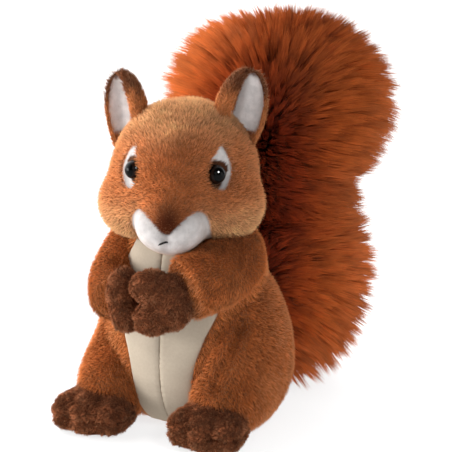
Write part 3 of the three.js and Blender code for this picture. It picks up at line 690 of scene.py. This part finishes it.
# eyes: glossy beads with a brown ring round a black middle, the ring where the way out is so near to the way
# ahead, as a cosine
eyeSet = {"sunk": 0.9, "up": 0.06, "ring": (0.62, 0.56, 0.25, 0.33), "black": 0.0012,
          "brown": (0.012, 0.005, 0.003)}
for side in sides:
    own = headSet[side]
    a = np.radians(own["faces"])
    ahead = unit(np.array([np.sin(a), -np.cos(a), eyeSet["up"]]))
    ways = ballWays(64, 96) @ turning("x", 90).T @ turning("z", own["faces"]).T
    grid = own["eye"] + ways * headSet["eyeRadius"] - ahead * eyeSet["sunk"]
    ring = smoothStep(*eyeSet["ring"][:2], ways @ ahead) * smoothStep(*eyeSet["ring"][2:], ways @ ahead)
    tint = mix(np.full(3, eyeSet["black"]), eyeSet["brown"], ring)
    dress(skinFrom("eye_bead_" + side, fromHead(grid), tint), "bead_eye", ["eye_" + side])

# mouth: three short stitches of black thread, each a rounded strand bowed over the plush
mouthSet = {"points": [[1.2, -25.6], [0, -25.3], [-2.4, -26.8], [-5.0, -28.6]], "radius": 0.45, "rise": 1.1,
            "tint": 0.012}


# a tube: circles of the radius about each point of a line, square to it; a radius of nought closes an end
def tubeGrid(line, radius, columns):
    ahead = unit(np.gradient(line, axis=0))
    side = unit(np.cross(ahead, np.array([0.31, 0.2, 1.0])))
    up = np.cross(side, ahead)
    around = np.linspace(0, 2 * np.pi, columns, endpoint=False)[None, :, None]
    out = side[:, None] * np.cos(around) - up[:, None] * np.sin(around)
    return line[:, None] + out * np.broadcast_to(radius, len(line))[:, None, None]


flat = np.array(mouthSet["points"])
ways = unit(np.stack([flat[:, 0], np.full(len(flat), -42.0), flat[:, 1]], -1) - headForm["heart"])
line = smoothLine(drawnIn(headForm, ways, mouthSet["rise"]), 14)
t = np.linspace(0, 1, len(line))
thick = mouthSet["radius"] * np.sqrt(np.clip(1 - (2 * t - 1) ** 8, 0, 1)) * (1 + 0.12 * np.sin(t * 60))
stitchGrid = tubeGrid(line, thick, 16)
stitch = skinFrom("mouth_thread", fromHead(stitchGrid), np.full(stitchGrid.shape, mouthSet["tint"]))
dress(stitch, "mouth_thread", ["mouth_stitch"])
print("eyes and mouth")

# ears, each in its own frame: up the ear, the cup open to the front
earSet = {"left": np.array([24.8, 3, 22.0]), "right": np.array([-27.2, 3, 20.3]), "lean": 13.0, "faces": 38.0,
          "low": -6.0, "widest": 9.0, "top": 29.0, "wide": 12.6, "deep": 7.2, "open": 112.0, "edge": 0.08,
          "thick": (1.7, 4.6), "crease": 3.2, "density": 3.4, "inWhite": 0.1, "cutAt": -1.5,
          "rows": 70, "columns": 120}


# The ear is a lens-shaped band: outer wall, rounded edge, inner wall, rounded edge. Its half width follows a
# smooth profile up the ear, and the inner wall stands in by the band's thickness, wider towards the head.
# With the grid come its depth, 0 on the outer wall and 1 on the inner one, and its angle round the ear.
def earGrid(sign):
    rows, columns, edge = earSet["rows"], earSet["columns"], earSet["edge"]
    low, widest, top = earSet["low"], earSet["widest"], earSet["top"]
    z = low + (top - low) * np.sin(np.linspace(0, 1, rows) * np.pi / 2) ** 1.1
    full = np.sqrt(np.clip(1 - ((z - widest) / (top - widest)) ** 2, 0, 1))
    wide = np.where(z < widest, earSet["wide"] - 0.012 * (z - widest) ** 2, earSet["wide"] * full)
    deep = 0.6 + earSet["deep"] * np.where(z < widest, 1, full**0.9)
    deep = deep * np.clip(full * 8, 0, 1)
    u = np.linspace(0, 1, columns, endpoint=False)
    angle = np.where(u < 0.5, np.clip(u / (0.5 - edge), 0, 1) * 2 - 1,
                     1 - np.clip((u - 0.5) / (0.5 - edge), 0, 1) * 2) * np.radians(earSet["open"])
    over = np.where(u < 0.5, np.clip((u - 0.5 + edge) / edge, 0, 1),
                    1 - np.clip((u - 1 + edge) / edge, 0, 1))
    depth = (1 - np.cos(over * np.pi)) / 2
    thick = earSet["thick"][0] + earSet["thick"][1] * smoothStep(-0.2, 1.0, -sign * np.sin(angle))
    x = (wide[:, None] - depth * np.minimum(thick, wide[:, None] * 0.6)) * np.sin(angle)
    y = 1 + (deep[:, None] - depth * np.minimum(3.0, deep[:, None] * 0.6)) * np.cos(angle)
    y = y - np.sin(over * np.pi)
    crease = bell(angle / 0.26) * depth * smoothStep(0, 10, z)[:, None] * smoothStep(28, 20, z)[:, None]
    grid = np.stack([x, y + earSet["crease"] * crease, np.broadcast_to(z[:, None], x.shape)], -1)
    return grid[:, ::-1], depth[::-1] + 0 * z[:, None], angle[::-1] + 0 * z[:, None]


for side, sign in sides.items():
    grid, depth, angle = earGrid(sign)
    lean, faces = earSet["lean"], sign * earSet["faces"]
    turned = turning("x", -lean) @ turning("y", sign * lean) @ turning("z", faces)
    toward = smoothStep(0.15, 0.35, -sign * np.sin(angle))
    z = grid[..., 2]
    lining = smoothStep(0.9, 1.0, depth) * (1 - toward) * smoothStep(29, 26, z) * smoothStep(0, 2, z)
    tint = mix(tints["face"], tints["dark"] * 1.1, smoothStep(10, 21, z + 2 * lumps(grid, 8, 9)))
    # painted shade: the lining darker down the middle of the cup, in its hollow
    tint = mix(tint, tints["white"] * (1.35 - 0.45 * bell(angle / 0.35))[..., None], lining)
    placed = fromHead(grid @ turned.T + earSet[side])
    # painted shade: the skin outside the lining darkened to 0.65, for the shade deep in the pile
    ear = skinFrom("ear_skin_" + side, placed, tint * (0.65 + 0.4 * lining[..., None]))
    dress(ear, "rust_plush", ["ear_" + side, "ear_lining_" + side])
    roots = scatter(grid, earSet["density"])
    p = roots["root"]
    at = (roots["uv"][:, ::-1] * [grid.shape[0] - 1, grid.shape[1]]).astype(int)
    row, column = np.minimum(at, [grid.shape[0] - 1, grid.shape[1] - 1]).T
    white = lining[row, column]
    high = smoothStep(12, 30, p[:, 2])
    lie = np.stack([0.5 * np.sign(p[:, 0]) * high, -0.1 + 0 * high, 1 + 0 * high], -1)
    lie = lie @ turned.T @ headTurn.T
    rim = (depth[row, column] > 0.02) & (depth[row, column] < 0.98)
    length = np.where(white > 0.5, 1.1, 2.1 + 0.5 * high + 0.9 * rim * high)
    roots["root"] = fromHead(p @ turned.T + earSet[side])
    roots["normal"] = roots["normal"] @ turned.T @ headTurn.T
    stay = (distanceTo(toHead(roots["root"]), headForm) > earSet["cutAt"]) & (
        (white < 0.95) | (rng.random(len(p)) < earSet["inWhite"]))
    pale = white[stay] > 0.5
    earCoat = plush("ear_coat_" + side, kept(roots, stay), lie[stay], tint[row, column][stay], length[stay],
                    lean=50, width=0.45, density=earSet["density"], dark=np.where(pale, 0.93, 0.38),
                    tip=np.where(pale, 1.03, 1.45), uneven=np.where(pale, 0.03, 0.3))
    dress(earCoat, "rust_plush")
print("ears")

# torso and limbs
bellySet = {"points": [[12.5, 2], [15.5, 12], [15.7, 24], [18, 37], [21.5, 48], [26.5, 61], [26, 75],
                       [18.5, 88], [13, 104]],
            "shift": 0.7, "back": -11.0, "low": 2.5, "high": 104.0, "within": -2.2,
            "rows": 150, "columns": 60}
halfBelly = smoothLine(bellySet["points"], 6)
bellyOutline = np.concatenate([halfBelly, halfBelly[::-1] * [-1, 1]]) + [bellySet["shift"], 0]


# rust mixed with the face's tint in wide lumps, then mottled by small ones and by upright ones
def bodyTint(points, seed):
    tint = mix(tints["rust"], tints["face"], smoothStep(-0.6, 1.2, lumps(points, 30, seed)) * 0.5)
    upright = lumps(points * [1, 1, 0.5], 16, seed + 2)
    return tint * (1 + 0.14 * lumps(points, 8, seed + 1) + 0.12 * upright)[..., None]


# how far inside the belly's outline each point lies, as seen from the front
def onBelly(points):
    return np.where(points[..., 1] < bellySet["back"], insideBy(points[..., [0, 2]], bellyOutline), -9)


# nothing lower than the height low
def aboveFloor(grid, low):
    return np.stack([grid[..., 0], grid[..., 1], np.maximum(grid[..., 2], low)], -1)


# pileShade: how far the skins under the pile are darkened, as painted shade deep in the pile
bodySet = {"floor": 0.4, "clear": 1.5, "swell": 0.4, "pileShade": 0.55, "wander": 0.3,
           "torsoTone": [1.3, 1.4, 1.45], "armLength": 0.95}
# dark and tip: painted shade at the roots and painted light at the tips of the pile
bodyPile = {"density": 2.5, "length": 3.3, "lean": 48, "width": 0.46, "dark": 0.38, "tip": 1.45,
            "uneven": 0.22}


# the body's pile along a lie that wanders by lumps
def bodyCoat(name, roots, lie, seed, tint, share=1.0):
    lie = lie + bodySet["wander"] * wander(roots["root"], 18, seed)
    own = {**bodyPile, "length": bodyPile["length"] * share}
    dress(plush(name, roots, lie, tint, **own), "rust_plush")


ways = ballWays(140, 200, (1, 1, 1.25))
swell = bodySet["swell"] * lumps(drawnIn(torsoForm, ways), 26, 21)
torsoGrid = aboveFloor(drawnIn(torsoForm, ways, -coat["depth"] + swell), bodySet["floor"])
onCream = smoothStep(0.5, 1.5, onBelly(torsoGrid))
# painted shade: the rust skin darkened to 0.65, for the shade deep in the pile
torsoTint = mix(bodyTint(torsoGrid, 31) * 0.65, tints["cream"] * 0.9, onCream)
dress(skinFrom("torso_skin", torsoGrid, torsoTint), "rust_plush", ["torso"])


# the torso's pile stops at the other pieces, at the belly's edge and above the floor, higher between the feet
def onTorso(p):
    low = np.where((p[:, 1] < -15) & (np.abs(p[:, 0]) < 22), 8, bodySet["clear"])
    return (clearOf(p, ["torso"]) > coat["cutAt"]) & (onBelly(p) < 1.2) & (p[:, 2] > low)


roots = scatter(torsoGrid, bodyPile["density"], onTorso)
# the torso's pile lighter and paler than the limbs', partly its own tone and partly painted light through the
# pile
tint = bodyTint(roots["root"], 31) * bodySet["torsoTone"]
bodyCoat("torso_coat", roots, np.array([0, 0.25, -1.0]), 41, tint)

# the crease down the front of the left thigh, where the inner part folds against the outer one, with painted
# shade along it
foldSet = {"points": [[36.4, -18.0, 57.2], [36.4, -20.7, 53.6], [34.9, -27.2, 45.7], [31.6, -33.6, 36.0],
                      [30.0, -38.2, 28.5]],
           "width": 2.0, "deep": 2.2, "dark": 0.8, "beside": (0.8, 5.0, 3.0)}
fold = smoothLine(foldSet["points"], 8)


# the distance to the nearest point of the crease
def fromFold(points):
    return np.sqrt(((points[..., None, :] - fold) ** 2).sum(-1).min(-1))


# the body's tint, darker in a bell across the crease as painted shade in the fold
def thighTintAndFoldShade(points):
    return bodyTint(points, 33) * (1 - foldSet["dark"] * bell(fromFold(points) / foldSet["width"]))[..., None]


for side, sign in sides.items():
    ways = ballWays(110, 150)
    first = drawnIn(thighForms[side], ways)
    apart = fromFold(first)
    high, at, wide = foldSet["beside"]
    grow = (-coat["depth"] + bodySet["swell"] * lumps(first, 24, 51)
            - foldSet["deep"] * bell(apart / foldSet["width"]) + high * bell((apart - at) / wide))
    thighGrid = aboveFloor(drawnIn(thighForms[side], ways, grow), bodySet["floor"])
    thigh = skinFrom("thigh_skin_" + side, thighGrid, thighTintAndFoldShade(thighGrid) * bodySet["pileShade"])
    dress(thigh, "rust_plush", ["thigh_" + side])
    roots = scatter(thighGrid, bodyPile["density"], lambda p: (
        clearOf(p, ["thigh_" + side]) > coat["cutAt"]) & (p[:, 2] > bodySet["clear"]))
    lie = unit(roots["root"] - np.array([sign * 30, -10, 75])) * [0.6, 0.8, 1] + np.array([0, 0.25, -0.2])
    bodyCoat("thigh_coat_" + side, roots, lie, 44, thighTintAndFoldShade(roots["root"]))

    line = armLines[side]
    beyond = 4 * unit(line[1] - line[0]), 4 * unit(line[-1] - line[-2])
    ends = np.concatenate([[line[0] - beyond[0]], line, [line[-1] + beyond[1]]])
    radius = armRadius(np.linspace(0, 1, len(line)), side) - coat["depth"]
    armGrid = swollen(tubeGrid(ends, np.concatenate([[0], radius, [0]]), 72), bodySet["swell"], 20, 52)
    arm = skinFrom("arm_skin_" + side, armGrid, bodyTint(armGrid, 35) * bodySet["pileShade"])
    dress(arm, "rust_plush", ["arm_" + side])
    roots = scatter(armGrid, bodyPile["density"], lambda p: clearOf(p, ["arm_" + side]) > coat["cutAt"])
    nearest = ((roots["root"][:, None] - line[None]) ** 2).sum(-1).argmin(1)
    lie = unit(np.gradient(line, axis=0))[nearest] + np.array([0, 0, -0.5])
    bodyCoat("arm_coat_" + side, roots, lie, 47, bodyTint(roots["root"], 35), bodySet["armLength"])
print("torso, thighs and arms")


# belly: each panel runs from the seam to its edge and up the front. Rays go out from the torso's upright
# axis, and the panel takes the part of each row of rays from the seam to its outline; it dips to the seam and
# turns under at its edge
def bellyPanel(sign):
    rows, columns = bellySet["rows"], bellySet["columns"]
    z = np.linspace(bellySet["low"], bellySet["high"], rows)
    edge = np.interp(z, halfBelly[:, 1], halfBelly[:, 0]) - 0.3
    turn = sign * np.linspace(-0.15, 2.0, 400)
    ways = np.stack([np.sin(turn), -np.cos(turn), 0 * turn], -1)[None] + np.zeros((rows, 1, 1))
    axis = np.stack([np.full(rows, 2.0), np.full(rows, 1.0), z], -1)[:, None]
    place = drawnIn(torsoForm, ways, 0.0, 70.0, axis)
    beside = sign * (place[..., 0] - bellySet["shift"])
    start = (beside > 0.05).argmax(1)
    outside = (beside > edge[:, None]) | (place[..., 1] > bellySet["back"])
    outside[:, :40] = False
    end = np.where(outside.any(1), outside.argmax(1), turn.size - 2)
    s = np.linspace(0, 1, columns // 2)
    s = np.concatenate([s, s[::-1]])
    pick = start[:, None] + s[None] * (end - start)[:, None]
    low = np.floor(pick).astype(int)
    part = (pick - low)[..., None]

    # between the two nearest rays of the row
    def at(values):
        row = np.arange(rows)[:, None]
        return values[row, low] * (1 - part) + values[row, low + 1] * part

    front = (np.arange(columns) < columns // 2)[None]
    grid, out = at(place), unit(at(ways))
    fromSeam = np.abs(grid[..., 0] - bellySet["shift"])
    fromEdge = (1 - s)[None] * edge[:, None]
    pucker = 0.2 * np.sin(z[:, None] * 2.1 + 0.6 * np.sin(z[:, None] * 0.7)) * np.exp(-fromSeam / 3)
    dips = -0.1 - 0.55 * bell(fromSeam / 1.3) - 0.8 * np.exp(-fromEdge / 0.8)
    grow = dips + pucker + 0.3 * lumps(grid, 20, 61)
    grid = grid + out * np.where(front, grow, grow + bellySet["within"])[..., None]
    return grid[:, ::int(sign)]


for side, sign in sides.items():
    grid = bellyPanel(sign)
    low, high = (row.mean(1, keepdims=True) + 0 * row for row in (grid[:1], grid[-1:]))
    capped = np.concatenate([low, grid, high])
    tint = tints["cream"] * (1 + 0.05 * lumps(capped, 12, 62))[..., None]
    panel = skinFrom("belly_panel_" + side, capped, tint)
    dress(panel, "cream_velour", ["belly_" + side])
print("belly")

# feet and paws: dark plush in small curled locks
curlSet = {"floor": 0.3, "clear": 1.1, "cutAt": -1.0, "inset": 1.4, "reach": 60.0, "toeSeam": 8.0,
           "seamDeep": 1.5, "seamWidth": 1.1, "pileShade": 0.5}
# dark and tip: painted shade at the roots and painted light at the tips of the pile
curlPile = {"density": 5.0, "length": 2.1, "lean": 50, "width": 0.38, "dark": 0.3, "tip": 1.9,
            "uneven": 0.35, "gather": 0.55, "centres": 0.6, "curl": 0.1}


# the dark tint, mottled by small lumps
def curlyTint(points):
    return tints["dark"] * (1.05 + 0.2 * lumps(points, 6, 72))[..., None]


# a piece from its form, inset by the pile, with a bell-shaped dip along a level seam that wavers by lumps
def curlyPiece(name, form, beside=(), seam=None):
    ways = ballWays(90, 120, (1, 1.2, 0.8))
    first = drawnIn(form, ways, 0.0, curlSet["reach"])
    grow = -curlSet["inset"] + 0.3 * lumps(first, 7, 71)
    if seam is not None:
        wavers = first[..., 2] - seam - 0.7 * lumps(first, 12, 76)
        grow = grow - curlSet["seamDeep"] * bell(wavers / curlSet["seamWidth"])
    grid = aboveFloor(drawnIn(form, ways, grow, curlSet["reach"]), curlSet["floor"])
    # painted shade: the skin darkened by pileShade, for the shade deep in the pile
    skin = skinFrom(name + "_skin", grid, curlyTint(grid) * curlSet["pileShade"])
    dress(skin, "dark_plush", [name])
    roots = scatter(grid, curlPile["density"], lambda p: (
        clearOf(p, [name, *beside]) > curlSet["cutAt"]) & (p[:, 2] > curlSet["clear"]))
    p = roots["root"]
    lie = wander(p, 7, 73) + np.array([0, -0.2, -0.3])
    dress(plush(name + "_coat", roots, lie, curlyTint(p), **curlPile), "dark_plush")


for side in sides:
    curlyPiece("foot_" + side, footForms[side], seam=curlSet["toeSeam"])
    curlyPiece("paw_" + side, pawForms[side], ["arm_" + side])
print("feet and paws")

# tail: a stuffed core under long pile, combed sideways from a parting at the front
tailBalls = [ball([17, 76, 28], [48, 36, 36]), ball([36, 60, 14], [18, 20, 18]),
             ball([15, 89, 54], [59, 46, 56]), ball([15, 86, 91], [51, 40, 29]),
             ball([14, 101, 149], [66, 58, 51]), ball([-20, 101, 160], [33, 44, 31]),
             ball([32, 101, 162], [27, 44, 30]), ball([49, 95, 129], [27, 40, 22])]
tailLobes = [{"heart": np.array([11, 85, 55.0]), "blend": 5, "balls": tailBalls[:4], "middle": 56.0},
             {"heart": np.array([13, 100, 140.0]), "blend": 5, "balls": tailBalls[3:], "middle": 144.0}]
tailSet = {"core": [[5, 62, 30], [10, 79, 48], [11, 88, 72], [11, 88, 98], [12, 91, 120], [13, 99, 137],
                    [14, 110, 149]],
           "radius": 21.0, "caps": [0.95, 0.8, 0.5], "swell": 0.8, "sunk": 1.5, "floor": 0.6,
           "clumps": 0.05, "strands": 0.22, "notch": 105.0, "toMiddle": 0.26, "parted": (0.62, 0.3),
           "bow": 0.45, "sway": 0.05, "stray": 0.03, "taper": 0.4,
           "deep": (0.08, 0.009, 0.002), "middle": (0.28, 0.033, 0.007), "tips": (0.53, 0.118, 0.023)}
# the three kinds of hair: hold is the share of the way that a tip is drawn to its clump's, fuzz how far it
# then stands out or stays back, from the share of its length that is left out at the root, and shade its
# tone: painted shade on the underfur, painted light on the fringe
hairSet = {
    "tail_underfur": {"density": 0.15, "width": 3.0, "rings": 2, "pieces": 1, "hold": (0.4, 0.8),
                      "fuzz": (-9, -5), "from": 0.0, "shade": 0.75},
    "tail_pile": {"density": 0.3, "width": 1.2, "rings": 2, "pieces": 2, "hold": (0.3, 0.7),
                  "fuzz": (-6, -2), "from": 0.15, "shade": 0.95},
    "tail_fringe": {"density": 1.76, "width": 0.8, "rings": 1, "pieces": 4, "hold": (0.1, 0.6),
                    "fuzz": (-3, 3), "from": 0.45, "shade": 1.08}}
coreLine = smoothLine(tailSet["core"], 12)
alongCore = unit(np.gradient(coreLine, axis=0))
# round ends: each cap's circles lie so far out, in radii, and are as wide as a ball is there
caps = np.array(tailSet["caps"])
before = unit(coreLine[1] - coreLine[0]) * tailSet["radius"] * caps[:, None]
beyond = unit(coreLine[-1] - coreLine[-2]) * tailSet["radius"] * caps[::-1, None]
ends = np.concatenate([coreLine[:1] - before, coreLine, coreLine[-1:] + beyond])
rounding = np.sqrt(1 - caps**2)
radius = np.concatenate([[0], rounding[1:], np.ones(len(coreLine)), rounding[::-1][:-1], [0]])
coreGrid = swollen(tubeGrid(ends, tailSet["radius"] * radius, 80), tailSet["swell"], 18, 81)
# the core in the deep tint: partly the roots' own darker red, partly painted shade deep in the pile
core = skinFrom("tail_skin", coreGrid, np.broadcast_to(np.array(tailSet["deep"]), coreGrid.shape))
dress(core, "tail_pile", ["tail_lower", "tail_middle", "tail_tip"])


# Where a hair that ends at a tip grows from: on the core beside the tip, but drawn towards the front parting,
# to its angle times 0.62 + 0.3 (angle / pi)^2, and, away from the notch between the lobes, towards the middle
# of its lobe. With the root come the way out there, the share of the way along the core and the angle.
def rootFor(tip, middle):
    awayFromNotch = smoothStep(0, 30, np.abs(tip[:, 2] - tailSet["notch"]))
    level = tip[:, 2] + tailSet["toMiddle"] * awayFromNotch * (middle - tip[:, 2])
    beside = np.stack([tip[:, 0], tip[:, 1], level], -1)
    nearest = ((beside[:, None] - coreLine[None]) ** 2).sum(-1).argmin(1)
    along, centre = alongCore[nearest], coreLine[nearest]
    out = tip - centre
    reach = (out * along).sum(-1, keepdims=True)
    flat = out - along * reach
    front = unit(np.array([0, -1.0, 0]) - along * (-along[:, 1:2]))
    side = np.cross(front, along)
    angle = np.arctan2((flat * side).sum(-1), (flat * front).sum(-1))
    drawn = angle * (tailSet["parted"][0] + tailSet["parted"][1] * (angle / np.pi) ** 2)
    normal = front * np.cos(drawn)[:, None] + side * np.sin(drawn)[:, None]
    lift = np.clip(reach[:, 0] / (np.linalg.norm(flat, axis=-1) + 1e-6), -3, 3)
    atEnd = (nearest == len(coreLine) - 1) | (nearest == 0)
    rise = np.where(atEnd, np.arctan(lift) * 0.9, 0)[:, None]
    normal = unit(normal * np.cos(rise) + along * np.sin(rise))
    root = centre + normal * (tailSet["radius"] - tailSet["sunk"])
    return root, normal, nearest / (len(coreLine) - 1), drawn


# tips spread over the outer form of both lobes, short of the floor and clear of the body
def tailTips(density):
    tips, middles = [], []
    for k, form in enumerate(tailLobes):
        found = scatter(drawnIn(form, ballWays(150, 220), 0.0, 110.0), density)["root"]
        body = np.min([distanceTo(found, f) for f in (torsoForm, *thighForms.values())], axis=0)
        stay = (distanceTo(found, tailLobes[1 - k]) > -1.5) & (body > 1.5) & (found[:, 2] > 0.3) & (
            distanceTo(toHead(found), headForm) > 1.0)
        tips.append(found[stay])
        middles.append(np.full(stay.sum(), form["middle"]))
    return np.concatenate(tips), np.concatenate(middles)


clumpTips = tailTips(tailSet["clumps"])[0]
strandTips = tailTips(tailSet["strands"])[0]
clumpReach = 1 - 0.3 * rng.random(len(clumpTips)) ** 2.2
clumpTone = rng.uniform(0.75, 1.25, len(clumpTips))
clumpSway = rng.normal(size=(len(clumpTips), 3))
print(len(clumpTips), "clumps")


# Hairs: the middle line leaves the core along its normal, then bends out to its tip. Each hair's tip is
# drawn part of the way to its strand's tip and then to its clump's, and each clump ends at its own share of
# the way.
def hairs(name, own):
    tips, middles = tailTips(own["density"])
    count = len(tips)
    nearest = nearestOf(tips, clumpTips)
    share = rng.uniform(*own["hold"], count)[:, None]
    root, normal, t, drawn = rootFor(tips, middles)
    thin = rng.uniform(0.1, 0.7, count)[:, None]
    end = tips * (1 - thin) + strandTips[nearestOf(tips, strandTips)] * thin
    end = end * (1 - share) + clumpTips[nearest] * share
    end = end + unit(end - root) * rng.uniform(*own["fuzz"], count)[:, None]
    run = (end - root) * (clumpReach[nearest] * rng.uniform(0.88, 1.0, count))[:, None]
    length = np.linalg.norm(run, axis=-1, keepdims=True)
    bent = (normal * length * tailSet["bow"] + tailSet["sway"] * length * clumpSway[nearest]
            + tailSet["stray"] * length * rng.normal(size=(count, 3)))
    tip = root + run
    tip[:, 2] = np.maximum(tip[:, 2], tailSet["floor"])
    first = 2 * bent
    second = tip - root - first
    start = own["from"]
    root, first, second = (root + first * start + second * start**2,
                           (first + 2 * second * start) * (1 - start), second * (1 - start) ** 2)
    far = np.linalg.norm((tip - coreLine[np.round(t * (len(coreLine) - 1)).astype(int)])[:, [0, 2]], axis=-1)
    # painted light: the lower lobe lighter by low and the fringe by its shade; painted shade: the underfur
    # darker by its shade
    low = 1 + 0.2 * smoothStep(100, 60, tips[:, 2])
    tone = (rng.uniform(0.85, 1.15, count) * clumpTone[nearest] * own["shade"] * low)[:, None]
    # the roots towards the deep tint: partly their own darker red, partly painted shade deep in the pile
    rootTint = mix(tailSet["deep"], tailSet["middle"], np.full(count, start * 0.7)) * tone
    # painted light: the tips lighter and paler the further they stand out from the core as seen from the
    # front, for light through the fringe at the outline
    tipTint = mix(tailSet["middle"], tailSet["tips"], smoothStep(24, 58, far)) * tone
    uv = np.stack([drawn / (2 * np.pi) + 0.5, t], -1)
    across = unit(np.cross(normal, second + 1e-4))
    width = own["width"] * rng.uniform(0.8, 1.2, count) * np.clip(length[:, 0] / 25, 0.4, 1)
    pieces = (np.argsort(np.argsort(tips[:, 2])) * own["pieces"]) // count
    for k in range(own["pieces"]):
        part = pieces == k
        piece = tuftPiece(f"{name}_{k + 1}", root[part], first[part], second[part], across[part], width[part],
                          rootTint[part], tipTint[part], uv[part], own["rings"], tailSet["taper"])
        dress(piece, "tail_pile")


for name, own in hairSet.items():
    hairs(name, own)
print("tail")
